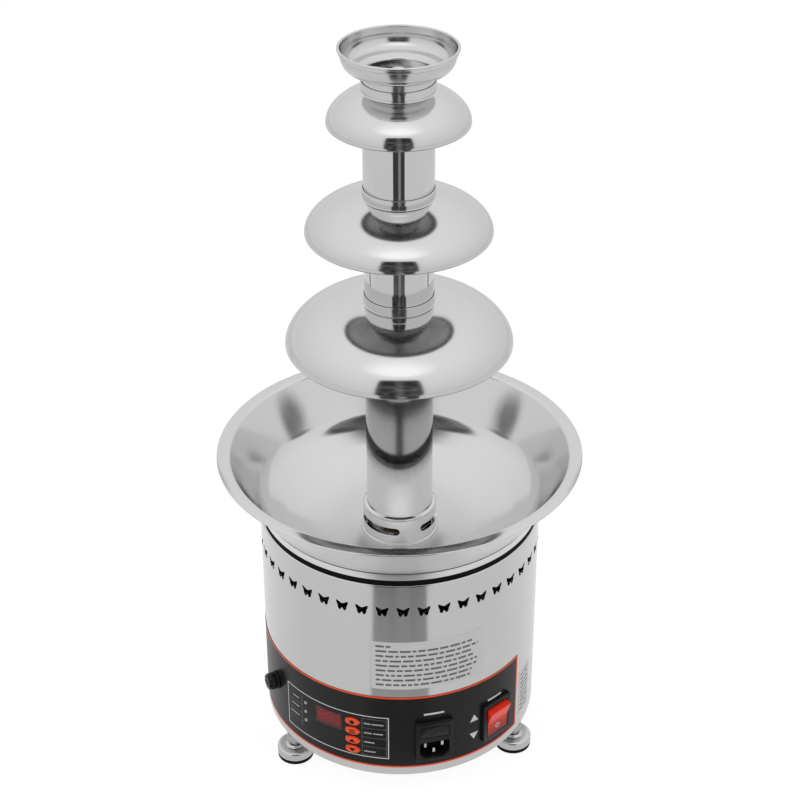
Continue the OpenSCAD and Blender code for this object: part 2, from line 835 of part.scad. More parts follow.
module display_window() {
    half = asin(window_w / 2 / film_r);
    color("darkred") ring_part(casing_r, film_r, window_z - window_h / 2, window_h,
        window_turn - half, window_turn + half);
}

module status_lights() {
    color("white") for (i = [0:2]) at_light(i) {
        tip = film_r * cos(light_turn - board_turn) + 0.8;
        outward(board_front_r, tip - 0.6) circle(r = light_d / 2);
        outward(tip - over, tip) circle(r = light_d / 2 - 0.5);
    }
}

module panel_film() {
    color([0.1, 0.1, 0.11]) difference() {
        ring_part(casing_r, film_r, panel_z, panel_h, panel_left, panel_right);
        panel_openings(0);
    }
}

sticker_t = 0.15;
notice_h = 46.6;
notice_lift = 8.4;
notice_left = -11.5;
notice_right = 36;
side_sticker_h = 44;
side_sticker_lift = 6;
side_sticker_gap = 2.7;
side_sticker_arc = 10.5;

module notice_sticker() {
    color("gainsboro") ring_part(casing_r, casing_r + sticker_t, panel_z + panel_h + notice_lift,
        notice_h, notice_left, notice_right);
}

module side_sticker() {
    from = panel_right + side_sticker_gap;
    color("gainsboro") ring_part(casing_r, casing_r + sticker_t, panel_z + side_sticker_lift,
        side_sticker_h, from, from + side_sticker_arc);
}

// Power inlet with its fuse drawer

inlet_front = film_r + 3;
socket_w = 24.4;
socket_h = 16.6;
socket_z = -8.6;
socket_depth = 15;
drawer_w = 24;
drawer_h = 11;
drawer_z = 10.2;
drawer_depth = 18;
inlet_depth = 24;

module socket_outline(margin) {
    w = socket_w / 2 + margin;
    h = socket_h / 2 + margin;
    c = 5;
    polygon([[-w, h], [-w, c - h], [c - w, -h], [w - c, -h], [w, c - h], [w, h]]);
}

module power_inlet() {
    rear = casing_r - inlet_depth;
    color([0.08, 0.08, 0.08]) difference() {
        union() {
            difference() {
                on_drum(inlet_turn, inlet_z) {
                    outward(casing_in_r - 6, inlet_front) rounded_rect(inlet_w, inlet_h, 2);
                    translate([0, 0, inlet_h / 2 - 2]) outward(casing_in_r - 6, inlet_front + 1.2)
                        square([inlet_w - 5, 2], center = true);
                }
                cylinder(r = film_r, h = casing_top);
            }
            on_drum(inlet_turn, inlet_z) outward(rear, film_r + 1)
                square([inlet_w, inlet_h] - [1, 1] * (2 * flange_lip + 0.4), center = true);
        }
        on_drum(inlet_turn, inlet_z) {
            translate([0, 0, socket_z]) outward(inlet_front - socket_depth, inlet_front + over)
                socket_outline(0);
            translate([0, 0, drawer_z]) outward(inlet_front - drawer_depth - gap, inlet_front + 3)
                square([drawer_w, drawer_h], center = true);
            for (p = blade_places()) translate([p.x, 0, socket_z + p.y])
                outward(rear - over, inlet_front) square([2, 4], center = true);
        }
    }
}

function blade_places() = [[-7, 3], [7, 3], [0, -3]];

module inlet_blades() {
    color("silver") on_drum(inlet_turn, inlet_z) for (p = blade_places())
        translate([p.x, 0, socket_z + p.y])
            outward(casing_r - inlet_depth - 8, inlet_front - 3) square([2, 4], center = true);
}

module fuse_drawer() {
    color([0.1, 0.1, 0.1]) on_drum(inlet_turn, inlet_z) translate([0, 0, drawer_z]) difference() {
        union() {
            outward(inlet_front - drawer_depth, inlet_front)
                square([drawer_w - 2 * gap, drawer_h - 2 * gap], center = true);
            translate([0, 0, drawer_h / 2 - 1.6]) outward(inlet_front - 1, inlet_front + 0.8)
                square([8, 1.2], center = true);
        }
        outward(inlet_front - drawer_depth - over, inlet_front - 4)
            square([drawer_w - 4, 6.4], center = true);
    }
}

// Rocker switch

switch_front = film_r + 2.6;
rocker_w = 22;
rocker_h = 27;
pivot_r = switch_front - 5;
pin_r = 1.5;
switch_depth = 26;

module switch_frame() {
    rear = casing_r - switch_depth;
    color([0.07, 0.07, 0.07]) difference() {
        union() {
            difference() {
                on_drum(switch_turn, switch_z) outward(casing_in_r - 6, switch_front)
                    rounded_rect(switch_w, switch_h, 1.5);
                cylinder(r = film_r, h = casing_top);
            }
            on_drum(switch_turn, switch_z) outward(rear, film_r + 1)
                square([switch_w, switch_h] - [1, 1] * (2 * flange_lip + 0.4), center = true);
        }
        on_drum(switch_turn, switch_z) {
            outward(pivot_r - 12, switch_front + over)
                square([rocker_w + 2 * gap, rocker_h + 5 * gap], center = true);
            translate([-rocker_w / 2 - 2, -pivot_r, 0]) rotate([0, 90, 0])
                cylinder(r = pin_r + run_gap, h = rocker_w + 4);
        }
    }
    // Terminal blades at the back
    color("silver") on_drum(switch_turn, switch_z) for (x = [-6, 6], z = [-8, 0, 8])
        translate([x, 0, z]) outward(rear - 8, rear + over) square([4.8, 0.8], center = true);
}

module rocker() {
    half = rocker_h / 2;
    lean = rocker_throw / 2;
    color("red") on_drum(switch_turn, switch_z) translate([0, -pivot_r, 0]) {
        // Upper half stands out: the switch rests in its off position
        rotate([lean, 0, 0]) translate([-rocker_w / 2, 0, 0]) rotate([90, 0, 90])
            linear_extrude(height = rocker_w) polygon([[6, -half + 3], [-2, -half + 0.8],
                [-7.5, -half + 0.6], [-5.6, 0], [-7.5, half - 0.6], [-2, half - 0.8], [6, half - 3]]);
        translate([-rocker_w / 2 - 1.5, 0, 0]) rotate([0, 90, 0]) cylinder(r = pin_r, h = rocker_w + 3);
    }
}

// Fuse holder

fuse_barrel_r = 6;
fuse_flange_r = 7.6;
fuse_flange_t = 2;
fuse_r = 2.6;
fuse_len = 20;
fuse_holder_depth = 34;

module fuse_holder() {
    rear = casing_r - fuse_holder_depth;
    color([0.06, 0.06, 0.06]) on_drum(fuse_turn, fuse_z) difference() {
        union() {
            outward(rear, film_r + 0.2 + fuse_flange_t) circle(r = fuse_barrel_r);
            difference() {
                outward(film_r - 2, film_r + 0.2 + fuse_flange_t) circle(r = fuse_flange_r);
                translate([0, 0, -fuse_z]) cylinder(r = film_r, h = casing_top);
            }
        }
        outward(rear + 4, film_r + 10) circle(r = fuse_r + gap);
        outward(casing_r - 8, film_r + 10) circle(r = fuse_barrel_r - 1);
    }
}

module fuse_holder_nut() {
    h = 4;
    color([0.06, 0.06, 0.06]) difference() {
        on_drum(fuse_turn, fuse_z) difference() {
            outward(casing_in_r - 1 - h, casing_in_r) hexagon(17);
            outward(casing_in_r - 2 - h, casing_in_r + over) circle(r = fuse_barrel_r);
        }
        difference() {
            cylinder(r = casing_r + 5, h = casing_top);
            cylinder(r = casing_in_r, h = casing_top);
        }
    }
}

fuse_out = casing_r - 2;

module fuse() {
    color("white") on_drum(fuse_turn, fuse_z) {
        outward(fuse_out - fuse_len, fuse_out) circle(r = fuse_r - 0.2);
        outward(fuse_out - fuse_len, fuse_out - fuse_len + 5) circle(r = fuse_r);
        outward(fuse_out - 5, fuse_out) circle(r = fuse_r);
    }
}

module fuse_cap() {
    front = film_r + 0.2 + fuse_flange_t + fuse_cap_h;
    back = front - fuse_cap_h + seat_gap;
    color([0.05, 0.05, 0.05]) on_drum(fuse_turn, fuse_z) difference() {
        union() {
            outward(back, front - 1) circle(r = fuse_cap_d / 2);
            outward(front - 1, front) circle(r = fuse_cap_d / 2 - 0.8);
            outward(casing_r - 7, back + over) circle(r = fuse_barrel_r - 1 - gap);
            for (i = [0:17]) rotate([0, 20 * i, 0]) translate([fuse_cap_d / 2 - 0.2, 0, 0])
                outward(back + 1, front - 2) circle(r = 0.5);
        }
        outward(front - 1.6, front + over) square([fuse_cap_d, 1.6], center = true);
        outward(casing_r - 8, fuse_out + run_gap) circle(r = fuse_r + run_gap);
    }
}

// Auger

auger_bottom = dog_z + gap;
auger_top = cup_top - cup_h + 2;
socket_top = dog_z + dog_h + gap;
flight_z0 = tube_bottom + 6;
flight_z1 = auger_top - 6;
flight_r = auger_d / 2;
core_r = auger_core_d / 2;

module auger_shaft() {
    boss_r = max(core_r, shaft_r + 4);
    outline = rounded_path([[0, auger_bottom], [boss_r, auger_bottom, 0.8],
        [boss_r, socket_top + 3, 2], [core_r, socket_top + 6, 2], [core_r, auger_top, core_r - 1],
        [0, auger_top]]);
    color("silver") difference() {
        revolve(outline);
        translate([0, 0, auger_bottom - over])
            linear_extrude(height = socket_top - auger_bottom + over)
                circle(r = shaft_r + gap, $fn = 6);
    }
}

module auger_flight() {
    steps_per_turn = 24;
    rise = flight_z1 - flight_z0;
    steps = ceil(rise / auger_pitch * steps_per_turn);
    root_r = core_r - 0.4;
    points = [for (i = [0:steps])
        let (
            a = 360 * i / steps_per_turn * (rise / auger_pitch * steps_per_turn / steps),
            z = flight_z0 + rise * i / steps,
            // The flight starts and ends as a narrow vane and reaches its full width in a quarter turn
            r = root_r + 1 + (flight_r - root_r - 1) * min(1, i / 6, (steps - i) / 6)
        )
        each [[root_r * cos(a), root_r * sin(a), z - flight_t / 2],
            [r * cos(a), r * sin(a), z - flight_t * 0.3],
            [r * cos(a), r * sin(a), z + flight_t * 0.3],
            [root_r * cos(a), root_r * sin(a), z + flight_t / 2]]];
    sides = [for (i = [0:steps - 1], j = [0:3])
        let (a = 4 * i + j, b = 4 * i + (j + 1) % 4)
        each [[a, a + 4, b + 4], [a, b + 4, b]]];
    ends = [[0, 1, 2], [0, 2, 3], [4 * steps + 2, 4 * steps + 1, 4 * steps],
        [4 * steps + 3, 4 * steps + 2, 4 * steps]];
    color("silver") polyhedron(points = points, faces = concat(sides, ends));
}

// Tower

module bearing_ring() {
    color("ivory") ring(tube_in_r - 0.5, hub_in_r - gap, hub_z + seat_gap, bearing_ring_h);
}

// Joint level of a section: its tube ends here and the next section starts
function joint_z(edge_z, dome_h) = edge_z + dome_h + collar_h - 6;

// Outline of a tube from z0 to z1
module plain_tube(z0, z1) {
    ring(tube_in_r, tube_r, z0, z1 - z0);
}

spigot_len = 18;

// Tube whose lower end is drawn in to slide into the tube below
module spigot_tube(z0, z1) {
    outside = rounded_path([[spigot_r, z0 - spigot_len], [spigot_r, z0 + gap, 0.2],
        [tube_r, z0 + gap, 0.2], [tube_r, z1]]);
    inside = rounded_path([[spigot_in_r, z0 - spigot_len], [spigot_in_r, z0 + 1.5, 0.3],
        [tube_in_r, z0 + 2.5, 0.3], [tube_in_r, z1]]);
    revolve(concat(outside, reversed(inside)));
}

// Groove at the foot of each collar: its depth, and its top above the dome's neck
collar_step = 0.45;
collar_foot = 1.6;

// Domed sheet with a rolled edge, and the collar that rises from its neck
module dome(r, h, edge_z, crown) {
    foot_r = collar_r - collar_step;
    foot_z = edge_z + h + collar_foot;
    neck = [foot_r, edge_z + h];
    outside = curve([r, edge_z], [r, edge_z + 0.36 * h],
        [collar_r + 0.66 * (r - collar_r), edge_z + h * (1 - crown)], neck, 24);
    seam_z = edge_z + h + collar_h;
    top_z = joint_z(edge_z, h);
    color("gainsboro") {
        rotate_extrude(angle = 360) {
            polygon(sheet(outside, dome_t));
            translate([r - dome_bead_r, edge_z]) circle(r = dome_bead_r, $fn = 24);
        }
        revolve([[tube_r, neck.y - 5], [foot_r, neck.y - 5], [foot_r, foot_z], [collar_r, foot_z],
            [collar_r, seam_z], [tube_r + gap, seam_z], [tube_r + gap, top_z], [tube_r, top_z]]);
    }
}

lower_joint = joint_z(lower_z, lower_dome_h);
middle_joint = joint_z(middle_z, middle_dome_h);
upper_joint = joint_z(upper_z, upper_dome_h);

module lower_tube() {
    color("silver") {
        difference() {
            plain_tube(tube_bottom, lower_joint);
            slot_cutters(slot_z - 0.2, slot_h + 0.4, tube_in_r - 1, tube_r + 1, slot_arc);
        }
        // Collar that covers the gap to the hub
        z = hub_z + hub_h + 0.3;
        revolve(rounded_path([[tube_r - 0.2, z], [hub_r - 0.1, z, 0], [hub_r - 0.1, z + 1.4, 1],
            [tube_r - 0.2, z + 1.4]]));
        // Lugs that turn under the hub's catch ring
        for (i = [0:slot_count - 1]) ring_part(tube_r - 0.3, hub_in_r - gap,
            catch_top - catch_t - gap - lug_h, lug_h, bridge_turn(i) - lug_arc / 2,
            bridge_turn(i) + lug_arc / 2);
    }
}

module lower_dome() {
    dome(lower_dome_d / 2, lower_dome_h, lower_z, 0);
}

module middle_tube() {
    color("silver") spigot_tube(lower_joint, middle_joint);
}

module middle_dome() {
    dome(middle_dome_d / 2, middle_dome_h, middle_z, 0.2);
}

module upper_tube() {
    color("silver") spigot_tube(middle_joint, upper_joint);
}

module upper_dome() {
    dome(upper_dome_d / 2, upper_dome_h, upper_z, 0.27);
}

module cup() {
    bottom = cup_top - cup_h;
    wall_r = cup_d / 2 - 2.2;
    bead_r = 1.1;
    z0 = upper_joint;
    // Outside from the spigot up the neck, round the cup's wall and step to the rim
    outside = concat(
        rounded_path([[spigot_r, z0 - spigot_len], [spigot_r, z0 + gap, 0.2],
            [tube_r, z0 + gap, 0.2], [tube_r, bottom - 2, 1.5], [tube_r + 4.2, bottom, 0.8]]),
        curve([tube_r + 5, bottom + 0.2], [wall_r - 3.5, bottom + 0.6], [wall_r, bottom + 6],
            [wall_r, cup_top - 5], 12),
        [[wall_r + 1.2, cup_top - 4], [wall_r + 1.4, cup_top - 1]]);
    color("gainsboro") {
        revolve(sheet(outside, tube_t));
        translate([0, 0, cup_top - bead_r]) rotate_extrude(angle = 360)
            translate([cup_d / 2 - bead_r, 0]) circle(r = bead_r, $fn = 24);
    }
}

casing();
base_plate();
base_screws();
gasket();
bowl_carrier();
bowl_nuts();
bowl();
hub_collar();
shaft_bush();
shaft_seal();
heater_ring();
heat_sensor();
bracket_posts();
motor_bracket();
bracket_screws();
gearbox();
gearbox_screws();
motor();
board_pillars();
control_board();
display_module();
display_window();
status_lights();
panel_film();
notice_sticker();
side_sticker();
power_inlet();
inlet_blades();
fuse_drawer();
switch_frame();
rocker();
fuse_holder();
fuse_holder_nut();
fuse();
fuse_cap();
button(1);  // button_1
button(2);  // button_2
button(3);  // button_3
button(4);  // button_4
foot_inserts();
foot_nut(1);  // foot_1_nut
foot_cup(1);  // foot_1_cup
foot_pad(1);  // foot_1_pad
foot_nut(2);  // foot_2_nut
foot_cup(2);  // foot_2_cup
foot_pad(2);  // foot_2_pad
foot_nut(3);  // foot_3_nut
foot_cup(3);  // foot_3_cup
foot_pad(3);  // foot_3_pad
drive_shaft();
auger_shaft();
auger_flight();
bearing_ring();
lower_tube();
lower_dome();
middle_tube();
middle_dome();
upper_tube();
upper_dome();
cup();
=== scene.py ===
"""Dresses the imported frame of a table-top chocolate fountain: polished steel, control panel and studio."""

import json
import logging
import math
from dataclasses import dataclass
from enum import Enum
from itertools import pairwise
from random import Random
from typing import Any, Sequence

import bpy
from mathutils import Matrix, Vector


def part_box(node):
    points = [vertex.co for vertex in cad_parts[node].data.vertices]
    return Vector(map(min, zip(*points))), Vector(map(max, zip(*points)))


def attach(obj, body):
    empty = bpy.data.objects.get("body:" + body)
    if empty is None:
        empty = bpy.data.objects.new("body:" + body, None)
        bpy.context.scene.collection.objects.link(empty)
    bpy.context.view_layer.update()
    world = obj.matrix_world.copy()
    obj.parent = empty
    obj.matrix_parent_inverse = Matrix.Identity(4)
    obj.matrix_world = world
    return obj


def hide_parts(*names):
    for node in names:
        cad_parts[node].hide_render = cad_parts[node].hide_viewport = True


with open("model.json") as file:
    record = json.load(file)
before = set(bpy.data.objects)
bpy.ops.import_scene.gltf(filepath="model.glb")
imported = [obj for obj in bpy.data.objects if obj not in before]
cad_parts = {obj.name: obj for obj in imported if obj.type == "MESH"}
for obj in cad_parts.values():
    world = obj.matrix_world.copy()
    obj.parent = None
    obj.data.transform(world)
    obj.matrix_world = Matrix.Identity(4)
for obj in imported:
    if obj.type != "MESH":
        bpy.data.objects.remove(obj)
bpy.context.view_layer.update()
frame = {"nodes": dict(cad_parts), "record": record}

LOG = logging.getLogger("fountain")
Point = tuple[float, float]
Outline = list[Point]
Colour = tuple[float, float, float]
Place = tuple[float, float, float]

# Blender's metre is 1000 mm, and points nearer than WELD are one point. A corner within STRAIGHT
# radians of a straight line isn't rounded, and part of a ring has a step for each ARC_STEP degrees.
MM = 0.001
WELD = 0.002 * MM
STRAIGHT = 1e-4
TURN_STEPS = 192
ARC_STEP = 1.2


def node_levels(node: str) -> Point:
    """Give the lowest and highest level of a node of the frame, to a tenth of a millimetre."""
    low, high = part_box(node)
    return (round(low.z / MM, 1), round(high.z / MM, 1))


def node_radius(node: str) -> float:
    """Give the outer radius of a round node of the frame, to a whole millimetre."""
    return float(round(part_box(node)[1].x / MM))


# Sizes read from the frame: millimetres from the tower's axis and from the floor
DRUM_R = node_radius("casing")
DRUM_FOOT, CASING_TOP = node_levels("casing")
HUB_Z, HUB_TOP = node_levels("hub_collar")
RIM_Z = node_levels("bowl")[1]
GASKET_TOP = node_levels("gasket")[1]
TUBE_FOOT = node_levels("lower_tube")[0]
FILM_LEVELS = node_levels("panel_film")

# Sizes that two parts share: the hub's radius, and the turn and level of the display's window
HUB_R = 29.3
WINDOW_AT = (-31.0, 70.8)


def grey(level: float) -> Colour:
    """Give a grey colour."""
    return (level, level, level)


# Outlines in millimetres: x is the distance from the tower's axis, y is the height


def arc(centre: Point, radius: float, start: float, end: float, steps: int = 8) -> Outline:
    """Give the points of an arc.

    Args:
        centre: Middle of the circle.
        radius: Radius of the circle.
        start: Angle of the first point, in degrees from the x axis.
        end: Angle of the last point.
        steps: Number of straight pieces.

    Returns:
        The points from start to end.
    """
    angles = [math.radians(start + (end - start) * i / steps) for i in range(steps + 1)]
    return [(centre[0] + radius * math.cos(a), centre[1] + radius * math.sin(a)) for a in angles]


def rounded(path: Sequence[tuple[float, ...]], steps: int = 6) -> Outline:
    """Round the inner corners of an open path.

    Args:
        path: Points as (x, y), or (x, y, radius) at a corner that is rounded.
        steps: Number of straight pieces in each rounded corner.

    Returns:
        The path's points with arcs at its corners.
    """
    points: Outline = [(path[0][0], path[0][1])]
    for before, here, after in zip(path, path[1:], path[2:]):
        corner = Vector(here[:2])
        radius = here[2] if len(here) > 2 else 0.0
        u = (Vector(before[:2]) - corner).normalized()
        v = (Vector(after[:2]) - corner).normalized()
        half = u.angle(v) / 2
        if radius == 0 or abs(half - math.pi / 2) < STRAIGHT:
            points.append((corner.x, corner.y))
            continue
        middle = corner + (u + v).normalized() * radius / math.sin(half)
        first = corner + u * radius / math.tan(half) - middle
        sweep = math.copysign(math.pi - 2 * half, -(u.x * v.y - u.y * v.x))
        for i in range(steps + 1):
            a = sweep * i / steps
            x = first.x * math.cos(a) - first.y * math.sin(a)
            y = first.x * math.sin(a) + first.y * math.cos(a)
            points.append((middle.x + x, middle.y + y))
    points.append((path[-1][0], path[-1][1]))
    return points


def beside(path: Outline, distance: float) -> Outline:
    """Move a path to its left.

    Args:
        path: Points of the path.
        distance: How far to its left it moves; negative is to its right.

    Returns:
        The moved path, mitred at its corners.
    """
    moved: Outline = []
    for i, here in enumerate(path):
        normals = []
        for a, b in ((i - 1, i), (i, i + 1)):
            if 0 <= a and b < len(path):
                step = Vector(path[b]) - Vector(path[a])
                normals.append(Vector((-step.y, step.x)).normalized())
        mitre = (normals[0] + normals[-1]).normalized()
        shift = mitre * distance / mitre.dot(normals[0])
        moved.append((here[0] + shift.x, here[1] + shift.y))
    return moved


def sheet(path: Outline, thickness: float) -> Outline:
    """Give the closed outline of a sheet that lies to the left of a path."""
    return path + beside(path, thickness)[::-1] + path[:1]


def curve(start: Point, pull: Point, push: Point, end: Point, steps: int = 24) -> Outline:
    """Give the points of a cubic curve.

    Args:
        start: First point.
        pull: Point that steers the curve at its start.
        push: Point that steers the curve at its end.
        end: Last point.
        steps: Number of straight pieces.

    Returns:
        The points from start to end.
    """
    corners = [Vector(p) for p in (start, pull, push, end)]
    points: Outline = []
    for i in range(steps + 1):
        t = i / steps
        s = 1 - t
        weights = (s**3, 3 * s * s * t, 3 * s * t * t, t**3)
        place = sum((c * w for c, w in zip(corners, weights)), Vector((0, 0)))
        points.append((place.x, place.y))
    return points


def box_outline(width: float, height: float, radius: float = 0.0) -> Outline:
    """Give the closed outline of a rectangle about the origin.

    Args:
        width: Its size along x.
        height: Its size along y.
        radius: Radius of its corners.

    Returns:
        The outline.
    """
    w, h = width / 2, height / 2
    if radius == 0:
        return [(-w, -h), (w, -h), (w, h), (-w, h), (-w, -h)]
    corners = [(-w, 0), (-w, -h, radius), (w, -h, radius), (w, h, radius), (-w, h, radius), (-w, 0)]
    return rounded(corners)


def oval_outline(width: float, height: float, steps: int = 40) -> Outline:
    """Give the closed outline of an ellipse about the origin.

    Args:
        width: Its size along x.
        height: Its size along y.
        steps: Number of straight pieces.

    Returns:
        The outline.
    """
    angles = [math.tau * i / steps for i in range(steps)]
    points = [(width / 2 * math.cos(a), height / 2 * math.sin(a)) for a in angles]
    return points + points[:1]


def arrow_outline(half_width: float, tip: float, foot: float) -> Outline:
    """Give the closed outline of a triangle from the levels of its tip and its foot."""
    return [(0, tip), (-half_width, foot), (half_width, foot), (0, tip)]


# Modelling


class Bench:
    """Makes meshes with Blender's modelling operators, from sizes in millimetres."""

    def clear(self) -> None:
        """Leave edit mode and select nothing."""
        if bpy.context.object and bpy.context.object.mode == "EDIT":
            bpy.ops.object.mode_set(mode="OBJECT")
        bpy.ops.object.select_all(action="DESELECT")

    def select(self, piece: bpy.types.Object) -> None:
        """Select one piece, and make it the active one.

        Args:
            piece: The piece.
        """
        self.clear()
        bpy.context.view_layer.objects.active = piece
        piece.select_set(True)

    def edit(self, piece: bpy.types.Object) -> None:
        """Open a piece in edit mode with all of it selected.

        Args:
            piece: The piece.
        """
        self.select(piece)
        bpy.ops.object.mode_set(mode="EDIT")
        bpy.ops.mesh.select_all(action="SELECT")

    def weld(self) -> None:
        """Merge the selected points that lie on each other."""
        bpy.ops.mesh.remove_doubles(threshold=WELD)

    def settle(self) -> None:
        """Move the selected piece's place, turn and size into its mesh."""
        bpy.ops.object.transform_apply(location=True, rotation=True, scale=True)

    def push(self, way: Vector) -> None:
        """Extrude what is selected by a vector in millimetres."""
        bpy.ops.mesh.extrude_region_move(TRANSFORM_OT_translate={"value": way * MM})

    def spin(self, steps: int, angle: float) -> None:
        """Spin what is selected round the tower's axis."""
        bpy.ops.mesh.spin(steps=steps, angle=angle, center=(0, 0, 0), axis=(0, 0, 1))

    def trace(self, name: str, points: Sequence[Sequence[float]]) -> bpy.types.Object:
        """Draw a line of edges, and stay in edit mode.

        Args:
            name: Name of the new piece.
            points: Places of the line's points; the last may repeat the first.

        Returns:
            The new piece, with its edges selected and its doubles merged.
        """
        self.clear()
        bpy.ops.mesh.primitive_plane_add(size=MM)
        piece = bpy.context.active_object
        piece.name = name
        piece.data.name = name
        self.edit(piece)
        bpy.ops.mesh.merge(type="CENTER")
        bpy.ops.transform.translate(value=Vector(points[0]) * MM)
        for here, after in pairwise(points):
            self.push(Vector(after) - Vector(here))
        bpy.ops.mesh.select_all(action="SELECT")
        self.weld()
        return piece

    def face(self, name: str, points: Sequence[Sequence[float]]) -> bpy.types.Object:
        """Draw a closed line, fill it with one face, and stay in edit mode.

        Args:
            name: Name of the new piece.
            points: Places of the line's points; the last repeats the first.

        Returns:
            The new piece, with its face selected.
        """
        piece = self.trace(name, points)
        bpy.ops.mesh.edge_face_add()
        return piece

    def finish(self, piece: bpy.types.Object, smooth: float = 35.0, close: bool = True) -> bpy.types.Object:
        """Merge doubles, turn faces outwards and shade a piece.

        Args:
            piece: The piece.
            smooth: Edges that bend by more than this many degrees stay sharp.
            close: Whether doubles are merged and normals recalculated.

        Returns:
            The same piece.
        """
        self.edit(piece)
        if close:
            self.weld()
            bpy.ops.mesh.normals_make_consistent(inside=False)
        bpy.ops.object.mode_set(mode="OBJECT")
        self.settle()
        bpy.ops.object.shade_smooth_by_angle(angle=math.radians(smooth))
        return piece

    def turned(self, name: str, outline: Outline, steps: int = TURN_STEPS) -> bpy.types.Object:
        """Spin a closed outline round the tower's axis.

        Args:
            name: Name of the new piece.
            outline: Closed outline of (radius, height) points.
            steps: Number of steps in the full turn.

        Returns:
            The finished piece.
        """
        piece = self.trace(name, [(r, 0, z) for r, z in outline])
        self.spin(steps, math.tau)
        return self.finish(piece)

    def ring_part(self, name: str, radii: Point, levels: Point, turns: Point) -> bpy.types.Object:
        """Make part of a ring of rectangular section.

        Args:
            name: Name of the new piece.
            radii: Inner and outer radius.
            levels: Lowest and highest level.
            turns: First and last turn from the front, in degrees towards the right.

        Returns:
            The finished piece.
        """
        (r0, r1), (z0, z1) = radii, levels
        start, end = (math.radians(t - 90) for t in turns)
        across = Vector((math.cos(start), math.sin(start), 0))
        rise = Vector((0, 0, 1))
        section = ((r0, z0), (r1, z0), (r1, z1), (r0, z1), (r0, z0))
        piece = self.face(name, [across * r + rise * z for r, z in section])
        self.spin(max(2, math.ceil((end - start) / math.radians(ARC_STEP))), start - end)
        return self.finish(piece)

    def plate(self, name: str, outline: Outline, depths: Point, turn: float = 0.0, z: float = 0.0,
              edge: float = 0.0) -> bpy.types.Object:
        """Extrude a flat outline outwards from the drum's axis.

        Args:
            name: Name of the new piece.
            outline: Closed outline of (right, up) points about the plate's middle.
            depths: Distances of its back and its front from the tower's axis.
            turn: Turn from the front, in degrees towards the right.
            z: Level of the plate's middle.
            edge: Width of the rounded front edge.

        Returns:
            The finished piece.
        """
        back, front = depths
        piece = self.face(name, [(x, -back, z + y) for x, y in outline])
        self.push(Vector((0, back - front, 0)))
        if edge:
            bpy.ops.mesh.bevel(offset=edge * MM, segments=3, affect="EDGES")
        self.swing(piece, turn)
        return self.finish(piece)

    def swing(self, piece: bpy.types.Object, turn: float) -> None:
        """Turn a piece round the tower's axis.

        Args:
            piece: The piece.
            turn: How far it turns, in degrees.
        """
        self.select(piece)
        piece.rotation_euler = (0, 0, math.radians(turn))
        self.settle()

    def placed(self, piece: bpy.types.Object, lean: float, place: Sequence[float], turn: float) -> None:
        """Tip a piece that faces up so that it faces outwards, and seat it on the drum.

        Args:
            piece: The piece, drawn about the origin.
            lean: How far its face then looks up, in degrees.
            place: Its place on the front of the drum, in millimetres.
            turn: Turn from the front, in degrees towards the right.
        """
        self.select(piece)
        piece.rotation_euler = (math.radians(90 - lean), 0, 0)
        piece.location = Vector(place) * MM
        self.settle()
        self.swing(piece, turn)

    def copied(self, piece: bpy.types.Object, name: str) -> bpy.types.Object:
        """Copy a piece with its own mesh.

        Args:
            piece: The piece.
            name: Name of the copy and of its mesh.

        Returns:
            The copy.
        """
        twin = piece.copy()
        twin.data = piece.data.copy()
        twin.name = name
        twin.data.name = name
        bpy.context.scene.collection.objects.link(twin)
        return twin

    def joined(self, name: str, pieces: Sequence[bpy.types.Object]) -> bpy.types.Object:
        """Join pieces into the first of them.

        Args:
            name: Name of the joined piece and of its mesh.
            pieces: The pieces.

        Returns:
            The joined piece.
        """
        self.clear()
        for piece in pieces:
            piece.select_set(True)
        bpy.context.view_layer.objects.active = pieces[0]
        if len(pieces) > 1:
            bpy.ops.object.join()
        pieces[0].name = name
        pieces[0].data.name = name
        return pieces[0]

    def around(self, piece: bpy.types.Object, count: int) -> bpy.types.Object:
        """Repeat a piece's mesh round the tower's axis, as one piece.

        Args:
            piece: The piece, which becomes the first of the row.
            count: Number of places in the full turn.

        Returns:
            The joined piece.
        """
        twins = [self.copied(piece, f"{piece.name}_{i}") for i in range(1, count)]
        for i, twin in enumerate(twins, 1):
            self.swing(twin, i * (360 / count))
        return self.joined(piece.name, [piece, *twins])

    def cut(self, piece: bpy.types.Object, cutter: bpy.types.Object,
            smooth: float = 30.0) -> bpy.types.Object:
        """Cut one piece out of another, and remove the cutter.

        Args:
            piece: The piece that is cut.
            cutter: The piece whose volume is taken away.
            smooth: Edges that bend by more than this many degrees stay sharp.

        Returns:
            The cut piece.
        """
        self.select(piece)
        bpy.ops.object.modifier_add(type="BOOLEAN")
        modifier = piece.modifiers[-1]
        modifier.operation = "DIFFERENCE"
        modifier.solver = "EXACT"
        modifier.object = cutter
        bpy.ops.object.modifier_apply(modifier=modifier.name)
        bpy.data.objects.remove(cutter)
        bpy.ops.object.shade_smooth_by_angle(angle=math.radians(smooth))
        return piece

